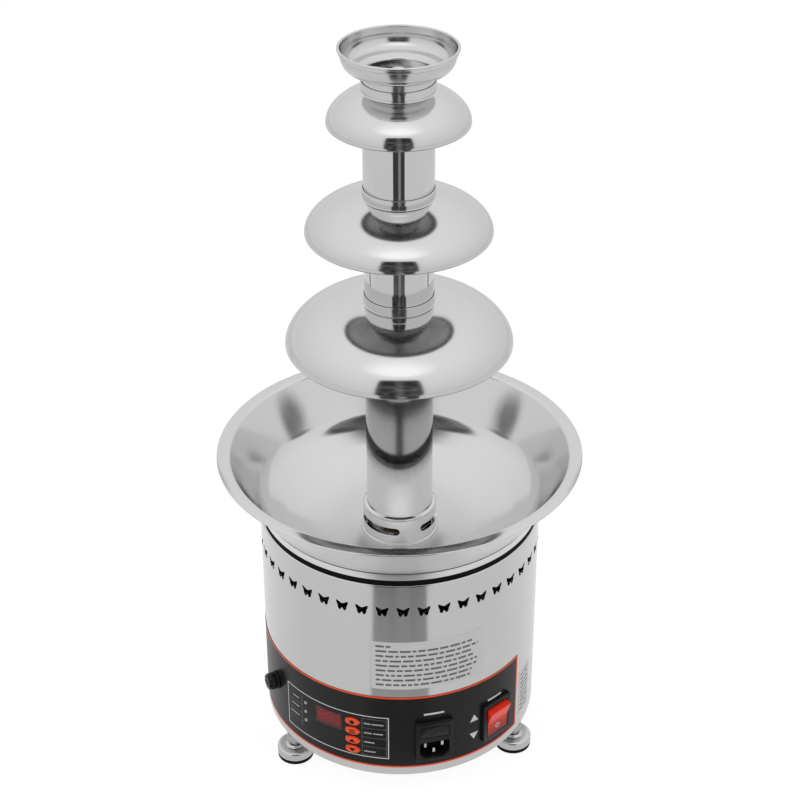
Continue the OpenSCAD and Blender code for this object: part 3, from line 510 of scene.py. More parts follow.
    def softened(self, node: str, edge: float, angle: float = 35.0, flat: float = 0.4) -> bpy.types.Object:
        """Copy a node of the frame and round its edges.

        Args:
            node: Name of the node.
            edge: Width of the rounded edges, in millimetres.
            angle: Edges that bend by more than this many degrees are rounded.
            flat: Faces that bend by less than this many degrees are joined first.

        Returns:
            The copy, with its own mesh.
        """
        piece = self.copied(frame["nodes"][node], f"{node}_skin")
        piece.parent = None
        piece.matrix_world = Matrix.Identity(4)
        self.edit(piece)
        self.weld()
        bpy.ops.mesh.dissolve_limited(angle_limit=math.radians(flat))
        bpy.ops.object.mode_set(mode="OBJECT")
        bpy.ops.object.modifier_add(type="BEVEL")
        modifier = piece.modifiers[-1]
        modifier.width = edge * MM
        modifier.segments = 2
        modifier.limit_method = "ANGLE"
        modifier.angle_limit = math.radians(angle)
        modifier.use_clamp_overlap = True
        bpy.ops.object.modifier_apply(modifier=modifier.name)
        return self.finish(piece, angle, close=False)


BENCH = Bench()


# Shading


class Number:
    """A number that varies over a surface; arithmetic on it adds the nodes."""

    def __init__(self, shader: "Shader", socket: bpy.types.NodeSocket) -> None:
        """Wrap a socket of a shader's nodes."""
        self.shader = shader
        self.socket = socket

    def _with(self, operation: str, *values: Any) -> "Number":
        """Add a maths node with these inputs."""
        node = self.shader.node("ShaderNodeMath", {"operation": operation}, dict(enumerate(values)))
        return Number(self.shader, node.outputs[0])

    def __add__(self, other: Any) -> "Number":
        """Add."""
        return self._with("ADD", self, other)

    __radd__ = __add__

    def __sub__(self, other: Any) -> "Number":
        """Subtract."""
        return self._with("SUBTRACT", self, other)

    def __rsub__(self, other: Any) -> "Number":
        """Subtract from a number."""
        return self._with("SUBTRACT", other, self)

    def __mul__(self, other: Any) -> "Number":
        """Multiply."""
        return self._with("MULTIPLY", self, other)

    __rmul__ = __mul__

    def __truediv__(self, other: Any) -> "Number":
        """Divide."""
        return self._with("DIVIDE", self, other)

    def above(self, level: float, blur: float) -> "Number":
        """Give 0 below a level and 1 above it, with a soft step of some width."""
        return self._with("SUBTRACT", self, level - blur / 2).scaled(1 / blur)

    def scaled(self, factor: float) -> "Number":
        """Multiply, and keep the result between 0 and 1.

        Args:
            factor: What the number is multiplied by.

        Returns:
            The result.
        """
        result = self._with("MULTIPLY", self, factor)
        result.socket.node.use_clamp = True
        return result

    def size(self) -> "Number":
        """Give the value without its sign."""
        return self._with("ABSOLUTE", self)

    def root(self) -> "Number":
        """Give the square root."""
        return self._with("SQRT", self)


def span(x: Number, y: Number) -> Number:
    """Give the length of a flat vector from its two parts."""
    return (x * x + y * y).root()


class Shader:
    """One material and its nodes."""

    def __init__(self, owner: str | bpy.types.World) -> None:
        """Start an empty material, or empty a world's nodes.

        Args:
            owner: Name of the new material, or the world.
        """
        self.material = bpy.data.materials.new(owner) if isinstance(owner, str) else owner
        self.material.use_nodes = True
        self.tree = self.material.node_tree
        self.tree.nodes.clear()
        self._coordinates: bpy.types.NodeSocket | None = None

    def node(self, kind: str, settings: dict[str, Any] | None = None,
             inputs: dict[Any, Any] | None = None) -> bpy.types.Node:
        """Add a node.

        Args:
            kind: Type of the node.
            settings: Values of the node's own properties.
            inputs: Values or links of its sockets, by name or number.

        Returns:
            The node.
        """
        node = self.tree.nodes.new(kind)
        for key, value in (settings or {}).items():
            setattr(node, key, value)
        for key, value in (inputs or {}).items():
            self.feed(node.inputs[key], value)
        return node

    def feed(self, socket: bpy.types.NodeSocket, value: Any) -> None:
        """Set a socket to a value, or link it.

        Args:
            socket: The socket that is fed.
            value: A number, a colour, a varying number or another node's socket.
        """
        if isinstance(value, Number):
            value = value.socket
        if isinstance(value, bpy.types.NodeSocket):
            self.tree.links.new(value, socket)
        elif isinstance(value, tuple) and len(value) == 3 and socket.type == "RGBA":
            socket.default_value = (*value, 1)
        else:
            socket.default_value = value

    def place(self, kind: str = "Object") -> bpy.types.NodeSocket:
        """Give the coordinates of the point that is shaded.

        Args:
            kind: Which coordinates: a piece's own, or "Generated" for a world's direction.

        Returns:
            The vector's socket.
        """
        if self._coordinates is None:
            self._coordinates = self.node("ShaderNodeTexCoord").outputs[kind]
        return self._coordinates

    def axes(self, kind: str = "Object") -> tuple[Number, ...]:
        """Give coordinates as three numbers: a piece's are in metres, a world's are a direction."""
        parts = self.node("ShaderNodeSeparateXYZ", inputs={0: self.place(kind)})
        return tuple(Number(self, part) for part in parts.outputs)

    def point(self, x: Any, y: Any, z: Any) -> bpy.types.NodeSocket:
        """Join three numbers into a vector."""
        return self.node("ShaderNodeCombineXYZ", inputs={0: x, 1: y, 2: z}).outputs[0]

    def noise(self, scale: float, detail: float = 2.0, where: Any = None, roughness: float = 0.5) -> Number:
        """Give a noise between 0 and 1.

        Args:
            scale: Bumps per metre.
            detail: Number of finer layers.
            where: Vector that the noise is read at; the object coordinates if none.
            roughness: Strength of the finer layers.

        Returns:
            The noise.
        """
        inputs = {"Vector": where or self.place(), "Scale": scale, "Detail": detail, "Roughness": roughness}
        return Number(self, self.node("ShaderNodeTexNoise", inputs=inputs).outputs[0])

    def blend(self, factor: Any, first: Any, second: Any) -> bpy.types.NodeSocket:
        """Mix two colours."""
        node = self.node("ShaderNodeMix", {"data_type": "RGBA"}, {0: factor, 6: first, 7: second})
        return node.outputs[2]

    def bump(self, height: Number, distance: float, strength: float = 1.0) -> bpy.types.NodeSocket:
        """Give the normal of a surface with a height on it; distance is in millimetres."""
        inputs = {"Height": height, "Distance": distance * MM, "Strength": strength}
        return self.node("ShaderNodeBump", inputs=inputs).outputs[0]

    def glow(self, colour: Any, strength: float = 1.0) -> bpy.types.NodeSocket:
        """Give a surface that only glows."""
        return self.node("ShaderNodeEmission", inputs={"Color": colour, "Strength": strength}).outputs[0]

    def sky(self, colour: Any, strength: float = 1.0) -> bpy.types.NodeSocket:
        """Give a world's light."""
        return self.node("ShaderNodeBackground", inputs={"Color": colour, "Strength": strength}).outputs[0]

    def cover(self, factor: Any, first: bpy.types.NodeSocket,
              second: bpy.types.NodeSocket) -> bpy.types.NodeSocket:
        """Mix two shaders: the first where the factor is 0, the second where it is 1."""
        return self.node("ShaderNodeMixShader", inputs={0: factor, 1: first, 2: second}).outputs[0]

    def masked(self, mask: Number, shown: bpy.types.NodeSocket) -> bpy.types.NodeSocket:
        """Show a shader where a mask is 1, and nothing where it is 0."""
        clear = self.node("ShaderNodeBsdfTransparent", inputs={"Color": grey(1)})
        return self.cover(mask, clear.outputs[0], shown)

    def rays(self, *kinds: str) -> Number:
        """Give 1 for rays of these kinds.

        Args:
            kinds: Outputs of the light path node, such as "Is Camera Ray".

        Returns:
            The sum of the outputs.
        """
        path = self.node("ShaderNodeLightPath")
        total = Number(self, path.outputs[kinds[0]])
        for kind in kinds[1:]:
            total = total + Number(self, path.outputs[kind])
        return total

    def surface(self, **sockets: Any) -> bpy.types.Material:
        """Close the material with a principled surface.

        Args:
            sockets: Values or links of the surface, named as its sockets with _ for a space.

        Returns:
            The material.
        """
        inputs = {key.replace("_", " "): value for key, value in sockets.items()}
        surface = self.node("ShaderNodeBsdfPrincipled", inputs=inputs)
        return self.output(surface.outputs[0])

    def output(self, socket: bpy.types.NodeSocket) -> bpy.types.Material:
        """Link a shader to the material's output."""
        self.node("ShaderNodeOutputMaterial", inputs={0: socket})
        return self.material


def tinted(colour: Colour, factor: float, lift: float = 0.0) -> Colour:
    """Give a colour that is multiplied by a factor and raised by a little, up to full."""
    return tuple(min(1.0, c * factor + lift) for c in colour)


class Polish(Enum):
    """How far a steel surface is polished: roughness, and depth of its polishing marks in millimetres."""

    MIRROR = (0.06, 0.0012)
    FINE = (0.12, 0.002)
    SOFT = (0.17, 0.003)
    SATIN = (0.26, 0.006)
    BRUSHED = (0.34, 0.005)


@dataclass(frozen=True)
class Steel:
    """Stainless sheet, polished in rings round the tower's axis; duller within the satin radius."""

    name: str
    polish: Polish
    level: float = 0.70
    satin_r: float = 0.0
    satin: float = 0.34
    satin_blur: float = 30.0
    rings_per_m: float = 900.0
    marks_per_m: float = 60.0
    clouds_per_m: float = 9.0

    def make(self) -> bpy.types.Material:
        """Build the material.

        Returns:
            The material.
        """
        shader = Shader(self.name)
        x, y, z = shader.axes()
        radius = span(x, y)
        ring = shader.point(radius * self.rings_per_m, z * self.rings_per_m, 0)
        mark = shader.point(x * self.marks_per_m, y * self.marks_per_m, z * self.marks_per_m)
        rings = shader.noise(1.0, 3, ring, 0.7)
        marks = shader.noise(1.0, 2, mark, 0.6)
        clouds = shader.noise(self.clouds_per_m, 2)
        rough, depth = self.polish.value
        gloss = rough * 0.75 + rings * rough * 0.25 + marks * rough * 0.3
        if self.satin_r:
            dull = 1 - radius.above(self.satin_r * MM, self.satin_blur * MM)
            gloss = gloss + dull * (self.satin - rough)
        tone = shader.blend(clouds, grey(self.level - 0.015), grey(self.level + 0.02))
        return shader.surface(
            Base_Color=tone, Metallic=1.0, Roughness=gloss, Normal=shader.bump(rings, depth, 0.5),
        )


@dataclass(frozen=True)
class Metal:
    """A machined or cast metal with a fine all-over grain."""

    name: str
    colour: Colour
    roughness: float
    grain: float = 0.01
    grains_per_m: float = 1400.0
    wear_per_m: float = 60.0

    def make(self) -> bpy.types.Material:
        """Build the material.

        Returns:
            The material.
        """
        shader = Shader(self.name)
        grain = shader.noise(self.grains_per_m, 3)
        wear = shader.noise(self.wear_per_m, 3)
        return shader.surface(
            Base_Color=shader.blend(wear, tinted(self.colour, 0.86), self.colour), Metallic=1.0,
            Roughness=self.roughness + wear * 0.1 - 0.05, Normal=shader.bump(grain, self.grain, 0.6),
        )


@dataclass(frozen=True)
class Plastic:
    """Moulded plastic with a fine grain and slight wear of its gloss, and painted shade below a level."""

    name: str
    colour: Colour
    roughness: float
    grain: float = 0.01
    coat: float = 0.0
    # Level below which painted shade darkens the colour, and the width of its soft step
    shade_below_z: float = 0.0
    shade_blur: float = 14.0
    grains_per_m: float = 2600.0
    wear_per_m: float = 45.0

    def make(self) -> bpy.types.Material:
        """Build the material.

        Returns:
            The material.
        """
        shader = Shader(self.name)
        grain = shader.noise(self.grains_per_m, 3)
        wear = shader.noise(self.wear_per_m, 3)
        tone = shader.blend(wear, self.colour, tinted(self.colour, 1.12, 0.002))
        # Painted shade: below the level the colour is darkened to 0.38 of itself, with a soft step
        if self.shade_below_z:
            height = shader.axes()[2].above(self.shade_below_z * MM, self.shade_blur * MM)
            tone = shader.blend(height, tinted(self.colour, 0.38), tone)
        return shader.surface(
            Base_Color=tone,
            Roughness=self.roughness + wear * 0.12 - 0.04, Normal=shader.bump(grain, self.grain, 0.6),
            Coat_Weight=self.coat, Coat_Roughness=0.06, Specular_IOR_Level=0.3,
        )


@dataclass(frozen=True)
class Rubber:
    """Dull moulded rubber with dust in its pores."""

    name: str
    colour: Colour = (0.005, 0.005, 0.005)
    dust: Colour = (0.03, 0.029, 0.028)
    pores_per_m: float = 1100.0
    dust_per_m: float = 30.0

    def make(self) -> bpy.types.Material:
        """Build the material.

        Returns:
            The material.
        """
        shader = Shader(self.name)
        pores = shader.noise(self.pores_per_m, 4)
        dust = shader.noise(self.dust_per_m, 4).above(0.55, 0.4)
        return shader.surface(
            Base_Color=shader.blend(dust * 0.15, self.colour, self.dust),
            Roughness=0.66 + pores * 0.2, Normal=shader.bump(pores, 0.02, 0.8), Specular_IOR_Level=0.08,
        )


@dataclass(frozen=True)
class Film:
    """Printed polyester film: a satin face over a solid colour."""

    name: str
    colour: Colour
    roughness: float = 0.24
    texture_per_m: float = 5200.0
    haze_per_m: float = 16.0

    def make(self) -> bpy.types.Material:
        """Build the material.

        Returns:
            The material.
        """
        shader = Shader(self.name)
        texture = shader.noise(self.texture_per_m, 2)
        haze = shader.noise(self.haze_per_m, 3)
        tone = shader.blend(haze, self.colour, tinted(self.colour, 1.15, 0.004))
        return shader.surface(
            Base_Color=tone, Roughness=self.roughness + haze * 0.08,
            Normal=shader.bump(texture, 0.004, 0.5), Specular_IOR_Level=0.22,
        )


@dataclass(frozen=True)
class Clear:
    """Clear or tinted plastic or glass."""

    name: str
    tint: Colour
    roughness: float = 0.03
    index: float = 1.49
    smears_per_m: float = 80.0

    def make(self) -> bpy.types.Material:
        """Build the material.

        Returns:
            The material.
        """
        shader = Shader(self.name)
        smear = shader.noise(self.smears_per_m, 2)
        return shader.surface(
            Base_Color=self.tint, Roughness=self.roughness + smear * 0.03, IOR=self.index,
            Transmission_Weight=1.0,
        )


@dataclass(frozen=True)
class Glow:
    """Ink or plastic that gives off a little light of its own, such as a dim digit."""

    name: str
    colour: Colour
    strength: float
    spots_per_m: float = 900.0

    def make(self) -> bpy.types.Material:
        """Build the material.

        Returns:
            The material.
        """
        shader = Shader(self.name)
        uneven = shader.noise(self.spots_per_m, 2)
        bright = shader.blend(uneven, self.colour, tinted(self.colour, 0.8))
        return shader.surface(
            Base_Color=bright, Roughness=0.35, Emission_Color=bright, Emission_Strength=self.strength,
        )


class Finishes:
    """All finishes of the fountain, each made once."""

    def __init__(self) -> None:
        """Make the materials."""
        self.mirror = Steel("steel_mirror", Polish.MIRROR).make()
        self.fine = Steel("steel_fine", Polish.FINE).make()
        self.soft = Steel("steel_soft", Polish.SOFT, 0.68).make()
        self.satin = Steel("steel_satin", Polish.SATIN, 0.64).make()
        self.spun = Steel("steel_spun", Polish.FINE, satin_r=62.0).make()
        self.brushed = Steel("steel_brushed", Polish.BRUSHED, 0.88).make()
        # Rougher steel of a much darker tone, for the faces of the domes that look down
        self.dark_underside = Steel("steel_unpolished", Polish.SATIN, 0.43).make()
        self.screw = Metal("steel_fastener", (0.58, 0.58, 0.57), 0.3).make()
        self.bronze = Metal("bronze_turned", (0.36, 0.26, 0.14), 0.42).make()
        self.cast = Metal("aluminium_cast", (0.56, 0.56, 0.57), 0.48, 0.05).make()
        self.nickel = Metal("contact_nickel", (0.74, 0.72, 0.67), 0.2, 0.003).make()
        self.motor = Plastic("motor_paint", (0.035, 0.036, 0.04), 0.4, 0.02, 0.3).make()
        self.black = Plastic("plastic_black", (0.006, 0.006, 0.007), 0.3).make()
        self.orange = Plastic("plastic_orange", (0.90, 0.075, 0.010), 0.3, 0.004, 0.2).make()
        # The rocker's red takes painted shade on its lower half, below 57 mm
        self.red = Plastic("plastic_red", (0.92, 0.032, 0.012), 0.2, 0.003, 0.08, shade_below_z=57.0).make()
        self.white = Plastic("plastic_ivory", (0.78, 0.77, 0.7), 0.4).make()
        self.lamp = Plastic("lamp_cover", (0.42, 0.42, 0.40), 0.2, 0.002, 0.5).make()
        self.board = Plastic("board_lacquer", (0.012, 0.11, 0.045), 0.3, 0.01, 0.4).make()
        self.display = Plastic("display_face", (0.15, 0.03, 0.03), 0.5).make()
        self.rubber = Rubber("rubber_black").make()
        self.film = Film("film_black", (0.008, 0.008, 0.009)).make()
        self.border = Film("ink_orange", (0.87, 0.075, 0.012), 0.3).make()
        self.ink = Film("ink_white", grey(0.62), 0.4).make()
        self.soft_ink = Film("ink_soft", grey(0.42), 0.4).make()
        self.dim_ink = Film("ink_dim", grey(0.13), 0.4).make()
        self.grey_ink = Film("ink_grey", (0.14, 0.14, 0.145), 0.4).make()
        self.dark_ink = Film("ink_black", grey(0.006), 0.5).make()
        self.sticker = Film("sticker_face", grey(0.60), 0.42).make()
        self.window = Clear("window_red", (0.85, 0.05, 0.045)).make()
        self.glass = Clear("fuse_glass", (0.93, 0.96, 0.95), 0.01, 1.5).make()
        self.digit = Glow("digit_red", (0.50, 0.05, 0.04), 0.25).make()


class Dresser:
    """Seats finished pieces on the frame's bodies and gives nodes their finish."""

    def __init__(self) -> None:
        """Read which body carries each node."""
        bodies = frame["record"]["behaviour"]["bodies"]
        self.body_of = {node: body for body, nodes in bodies.items() for node in nodes}

    def add(self, piece: bpy.types.Object, material: bpy.types.Material, body: str, slot: str) -> None:
        """Finish a piece and make it ride on a body.

        Args:
            piece: The piece.
            material: Its material.
            body: Name of the body that carries it.
            slot: Name of the record's material slot; not used.
        """
        piece.data.materials.clear()
        piece.data.materials.append(material)
        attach(piece, body)
        LOG.info("%s: %d faces on %s", piece.name, len(piece.data.polygons), body)

    def replace(self, piece: bpy.types.Object, material: bpy.types.Material, slot: str, *nodes: str) -> None:
        """Finish a piece that stands for nodes of the frame, and seat it on their body."""
        self.add(piece, material, self.body_of[nodes[0]], slot)
        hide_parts(*nodes)

    def line_below(self, piece: bpy.types.Object, material: bpy.types.Material, tilt: float = -0.25) -> None:
        """Give the faces of a piece that look down another material.

        Args:
            piece: The piece.
            material: Material of its underside.
            tilt: Faces whose normal's height is less than this look down.
        """
        piece.data.materials.append(material)
        for face in piece.data.polygons:
            if face.normal.z < tilt:
                face.material_index = 1

    def paint(self, material: bpy.types.Material, *nodes: str) -> None:
        """Give nodes of the frame a material.

        Args:
            material: The material.
            nodes: Names of the nodes.
        """
        for node in nodes:
            mesh = frame["nodes"][node].data
            mesh.materials.clear()
            mesh.materials.append(material)
            LOG.info("%s: finish %s", node, material.name)


# The fountain's pieces: sizes in millimetres, turns in degrees from the front towards the right


@dataclass
class Assembly:
    """A part of the fountain, with the finishes it takes and the dresser that seats its pieces."""

    finishes: Finishes
    dresser: Dresser


@dataclass(frozen=True)
class DomeSize:
    """Sizes of one dome; the crown is the share of its height by which its top is flattened."""

    name: str
    radius: float
    height: float
    edge_z: float
    crown: float


@dataclass
class Tower(Assembly):
    """Three domes on their tubes, and the cup on top."""

    domes: tuple[DomeSize, ...] = (
        DomeSize("lower", 87.1, 34.1, 364.3, 0.0),
        DomeSize("middle", 70.0, 28.1, 457.3, 0.2),
        DomeSize("upper", 52.4, 24.1, 543.7, 0.27),
    )
    dome_rise: float = 0.36
    dome_reach: float = 0.66
    dome_steps: int = 48
    sheet_t: float = 1.0
    bead_r: float = 1.5
    bead_turn: Point = (70, 360)
    bead_steps: int = 24
    hem_h: float = 1.45
    collar_t: float = 0.9
    collar_h: float = 7.7
    groove_t: float = 0.45
    groove_h: float = 1.6
    neck_len: float = 5.0
    seat_drop: float = 6.0
    tube_r: float = 26.3
    wall: float = 0.8
    gap: float = 0.3
    spigot_len: float = 18.0
    shoulder: Point = (1.5, 2.5)
    tube_bottom: float = TUBE_FOOT
    cover_r: float = 29.2
    cover_levels: tuple[float, float, float] = (215.3, 216.7, 217.3)
    slot_z: float = 201.5
    slot_h: float = 6.9
    lug_r: float = 27.8
    lug_levels: Point = (195.4, 198.9)
    lug_turns: Point = (13, 21)
    lug_count: int = 3
    cup_top: float = 600.0
    cup_r: float = 43.6
    cup_h: float = 17.4
    lip_w: float = 2.2
    lip_r: float = 1.1
    lip_turn: Point = (-110, 190)
    step_w: float = 4.2
    step_h: float = 2.0
    flare_w: float = 5.0
    belly_h: float = 6.0

    def build(self) -> None:
        """Build all pieces of the tower."""
        mirror = self.finishes.mirror
        joints = []
        for size in self.domes:
            dome = self.dome(size)
            self.dresser.replace(dome, self.finishes.fine, "polished_steel", f"{size.name}_dome")
            # Faces of the dome that look down take the rougher, darker steel
            self.dresser.line_below(dome, self.finishes.dark_underside)
            joints.append(size.edge_z + size.height + self.collar_h - self.seat_drop)
        self.dresser.replace(self.lower_tube(joints[0]), mirror, "polished_steel", "lower_tube")
        for name, (start, end) in zip(("middle", "upper"), pairwise(joints)):
            tube = BENCH.turned(f"{name}_tube_skin", self.spigot(start, end))
            self.dresser.replace(tube, mirror, "polished_steel", f"{name}_tube")
        cup = BENCH.turned("cup_skin", self.cup(joints[-1]))
        self.dresser.replace(cup, self.finishes.soft, "polished_steel", "cup")

    def dome(self, size: DomeSize) -> bpy.types.Object:
        """Make a domed sheet with a rolled edge and the collar on its neck.

        Args:
            size: Sizes of the dome.

        Returns:
            The piece.
        """
        collar_r = self.tube_r + self.collar_t
        neck_z = size.edge_z + size.height
        seam_z = neck_z + self.collar_h
        steer = collar_r + self.dome_reach * (size.radius - collar_r)
        top = curve((size.radius, size.edge_z), (size.radius, size.edge_z + self.dome_rise * size.height),
                    (steer, size.edge_z + size.height * (1 - size.crown)), (collar_r, neck_z),
                    self.dome_steps)
        under = [p for p in beside(top, self.sheet_t) if p[1] > size.edge_z + self.hem_h]
        bead = arc((size.radius - self.bead_r, size.edge_z), self.bead_r, *self.bead_turn, self.bead_steps)
        groove_r, groove_z = collar_r - self.groove_t, neck_z + self.groove_h
        seat_r, seat_z = self.tube_r + self.gap, seam_z - self.seat_drop
        collar = rounded([top[-3], (groove_r, neck_z + 0.1, 0.8), (groove_r, groove_z, 0.1),
                          (collar_r, groove_z, 0.25), (collar_r, seam_z, 0.35),
                          (seat_r, seam_z, 0.1), (seat_r, seat_z)])
        neck_end = neck_z - self.neck_len
        neck = [(self.tube_r, seat_z), (self.tube_r, neck_end), (collar_r, neck_end)]
        path = under[::-1] + bead + top[1:-2] + collar + neck + under[-1:]
        return BENCH.turned(f"{size.name}_dome_skin", path)

    def spigot(self, start: float, end: float) -> Outline:
        """Give the closed outline of a tube whose lower end is drawn in.

        Args:
            start: Level at which the full tube starts.
            end: Level of its top.

        Returns:
            The outline.
        """
        slim = self.tube_r - self.wall - self.gap
        foot = start - self.spigot_len
        low, high = self.shoulder
        outside = rounded([(slim, foot), (slim, start + self.gap, 0.2),
                           (self.tube_r, start + self.gap, 0.2), (self.tube_r, end)])
        inside = rounded([(slim - self.wall, foot), (slim - self.wall, start + low, 0.3),
                          (self.tube_r - self.wall, start + high, 0.3), (self.tube_r - self.wall, end)])
        return outside + inside[::-1] + outside[:1]

    def lower_tube(self, end: float) -> bpy.types.Object:
        """Make the lower tube with its covering ring, slots and lugs.

        Args:
            end: Level of its top.

        Returns:
            The piece.
        """
        inner, outer, bottom = self.tube_r - self.wall, self.tube_r, self.tube_bottom
        low, high, end_z = self.cover_levels
        outline = rounded([(inner, bottom), (outer, bottom), (outer, low), (self.cover_r, low, 0.2),
                           (self.cover_r, high, 1.0), (outer, end_z, 0.3), (outer, end), (inner, end),
                           (inner, bottom)])
        tube = BENCH.turned("lower_tube_skin", outline)
        Slots(self.slot_z, self.slot_h, (inner - 1, outer + 1)).cut_from(tube)
        lug = BENCH.ring_part("lug", (outer - 0.3, self.lug_r), self.lug_levels, self.lug_turns)
        return BENCH.joined("lower_tube_skin", [tube, BENCH.around(lug, self.lug_count)])

    def cup(self, start: float) -> Outline:
        """Give the closed outline of the cup and the neck it stands on.

        Args:
            start: Level at which its neck leaves the tube below.

        Returns:
            The outline.
        """
        bottom = self.cup_top - self.cup_h
        wall_r = self.cup_r - self.lip_w
        slim = self.tube_r - self.wall - self.gap
        flare = (self.tube_r + self.flare_w, bottom + 0.2)
        outside = rounded([(slim, start - self.spigot_len), (slim, start + self.gap, 0.2),
                           (self.tube_r, start + self.gap, 0.2), (self.tube_r, bottom - self.step_h, 1.5),
                           (self.tube_r + self.step_w, bottom, 0.8), flare])
        outside += curve(flare, (wall_r - 3.5, bottom + 0.6), (wall_r, bottom + self.belly_h),
                         (wall_r, self.cup_top - 5))[1:]
        outside.append((wall_r + 1.2, self.cup_top - 4))
        inside = beside(outside, self.wall)
        bead = arc((self.cup_r - self.lip_r, self.cup_top - self.lip_r), self.lip_r, *self.lip_turn,
                   self.bead_steps)
        return outside + bead + inside[:-1][::-1] + outside[:1]


@dataclass
class Slots:
    """Three long slots with round ends, cut through a round wall near the bowl's floor."""

    z: float
    height: float
    radii: Point
    arc: float = 86.0
    count: int = 3
    hub_r: float = HUB_R
    end_gap: float = 0.1

    def cut_from(self, piece: bpy.types.Object) -> None:
        """Cut the slots out of a piece.

        Args:
            piece: The piece with the round wall.
        """
        pitch = 360 / self.count
        middle = (pitch - self.arc) / 2 + pitch / 2
        end_r = self.height / 2
        inset = math.degrees(end_r / self.hub_r)
        turns = (middle - self.arc / 2 + inset, middle + self.arc / 2 - inset)
        wall = BENCH.ring_part("slot", self.radii, (self.z, self.z + self.height), turns)
        BENCH.cut(piece, BENCH.around(wall, self.count))
        outline = oval_outline(self.height - self.end_gap, self.height - self.end_gap)
        for turn in turns:
            end = BENCH.plate("slot_end", outline, self.radii, turn, self.z + end_r)
            BENCH.cut(piece, BENCH.around(end, self.count))


@dataclass
class BowlUnit(Assembly):
    """The bowl, the ring it stands on and the gasket under it."""

    rim_z: float = RIM_Z
    corner_z: float = 223.0
    hub_z: float = HUB_Z
    casing_top: float = CASING_TOP
    gasket_top: float = GASKET_TOP
    bowl_r: float = 144.2
    corner_r: float = 110.5
    flange_w: float = 10.0
    sheet_t: float = 1.2
    hole_r: float = 12.0
    hub_r: float = HUB_R
    floor_start: float = 2.0
    floor_end: Point = (-2.5, -1.0)
    floor_sag: float = 4.25
    floor_steps: int = 24
    corner_steps: int = 6
    corner_shift: Point = (-0.2, 1.6)
    corner_bend: float = 34.0
    rim_bend: float = 3.0
    bend_steps: int = 12
    carrier_w: float = 4.0
    carrier_foot: float = 0.7
    carrier_bend: float = 0.5
    carrier_lip: Point = (0.6, 1.6)
    carrier_top: Point = (-0.4, 0.6)
    carrier_in: float = 3.3
    gasket_out: float = 0.5
    gasket_w: float = 11.0
    gasket_lip: float = 4.5
    gasket_bend: float = 0.8
    turn_steps: int = 256

    def build(self) -> None:
        """Build all pieces of the bowl."""
        bowl = BENCH.turned("bowl_skin", self.bowl(), self.turn_steps)
        self.dresser.replace(bowl, self.finishes.spun, "polished_steel", "bowl")
        self.dresser.line_below(bowl, self.finishes.brushed)
        ring = BENCH.turned("bowl_carrier_skin", self.carrier(), self.turn_steps)
        self.dresser.replace(ring, self.finishes.brushed, "polished_steel", "bowl_carrier")
        seal = BENCH.turned("gasket_skin", self.gasket(), self.turn_steps)
        self.dresser.replace(seal, self.finishes.rubber, "black_rubber", "gasket")
        self.dresser.paint(self.finishes.screw, "bowl_nuts")

    def upper(self) -> Outline:
        """Give the bowl's upper surface, from its hole out to its rim.

        Returns:
            The open outline: a sagging floor, a wide bend and a straight wall.
        """
        start = Vector((self.hub_r + self.floor_start, self.hub_z))
        chord = Vector((self.corner_r + self.floor_end[0], self.corner_z + self.floor_end[1])) - start
        down = Vector((chord.y, -chord.x)).normalized()
        floor = []
        for i in range(self.floor_steps + 1):
            t = i / self.floor_steps
            place = start + chord * t + down * self.floor_sag * 4 * t * (1 - t)
            floor.append((place.x, place.y))
        corner = (self.corner_r + self.corner_shift[0], self.corner_z + self.corner_shift[1],
                  self.corner_bend)
        flange = (self.bowl_r - self.flange_w, self.rim_z, self.rim_bend)
        wall = rounded([floor[-self.corner_steps], corner, flange, (self.bowl_r, self.rim_z)],
                       self.bend_steps)
        return [(self.hole_r, self.hub_z)] + floor[:-self.corner_steps] + wall

    def bowl(self) -> Outline:
        """Give the bowl's closed outline, with a rounded edge at the rim.

        Returns:
            The outline.
        """
        upper = self.upper()
        lower = beside(upper, -self.sheet_t)
        half = self.sheet_t / 2
        edge = arc((self.bowl_r - half, self.rim_z - half), half, 90, -90)
        return upper[:-1] + edge + lower[:-1][::-1] + upper[:1]

    def carrier(self) -> Outline:
        """Give the carrier ring's closed outline.

        Returns:
            The outline.
        """
        inner = self.corner_r - self.carrier_w
        (lip_w, lip_h), (top_w, top_h) = self.carrier_lip, self.carrier_top
        path = rounded([(inner, self.gasket_top),
                        (self.corner_r + self.carrier_foot, self.gasket_top, self.carrier_bend),
                        (self.corner_r + lip_w, self.corner_z + lip_h, self.carrier_bend),
                        (self.corner_r + top_w, self.corner_z + top_h)])
        return path + [(inner, self.corner_z - self.carrier_in), path[0]]

    def gasket(self) -> Outline:
        """Give the gasket's closed outline.

        Returns:
            The outline.
        """
        outer = self.corner_r + self.gasket_out
        path = rounded([(outer - self.gasket_w, self.casing_top),
                        (outer, self.casing_top, self.gasket_bend),
                        (outer, self.gasket_top, self.gasket_bend),
                        (outer - self.gasket_lip, self.gasket_top)])
        return path + path[:1]


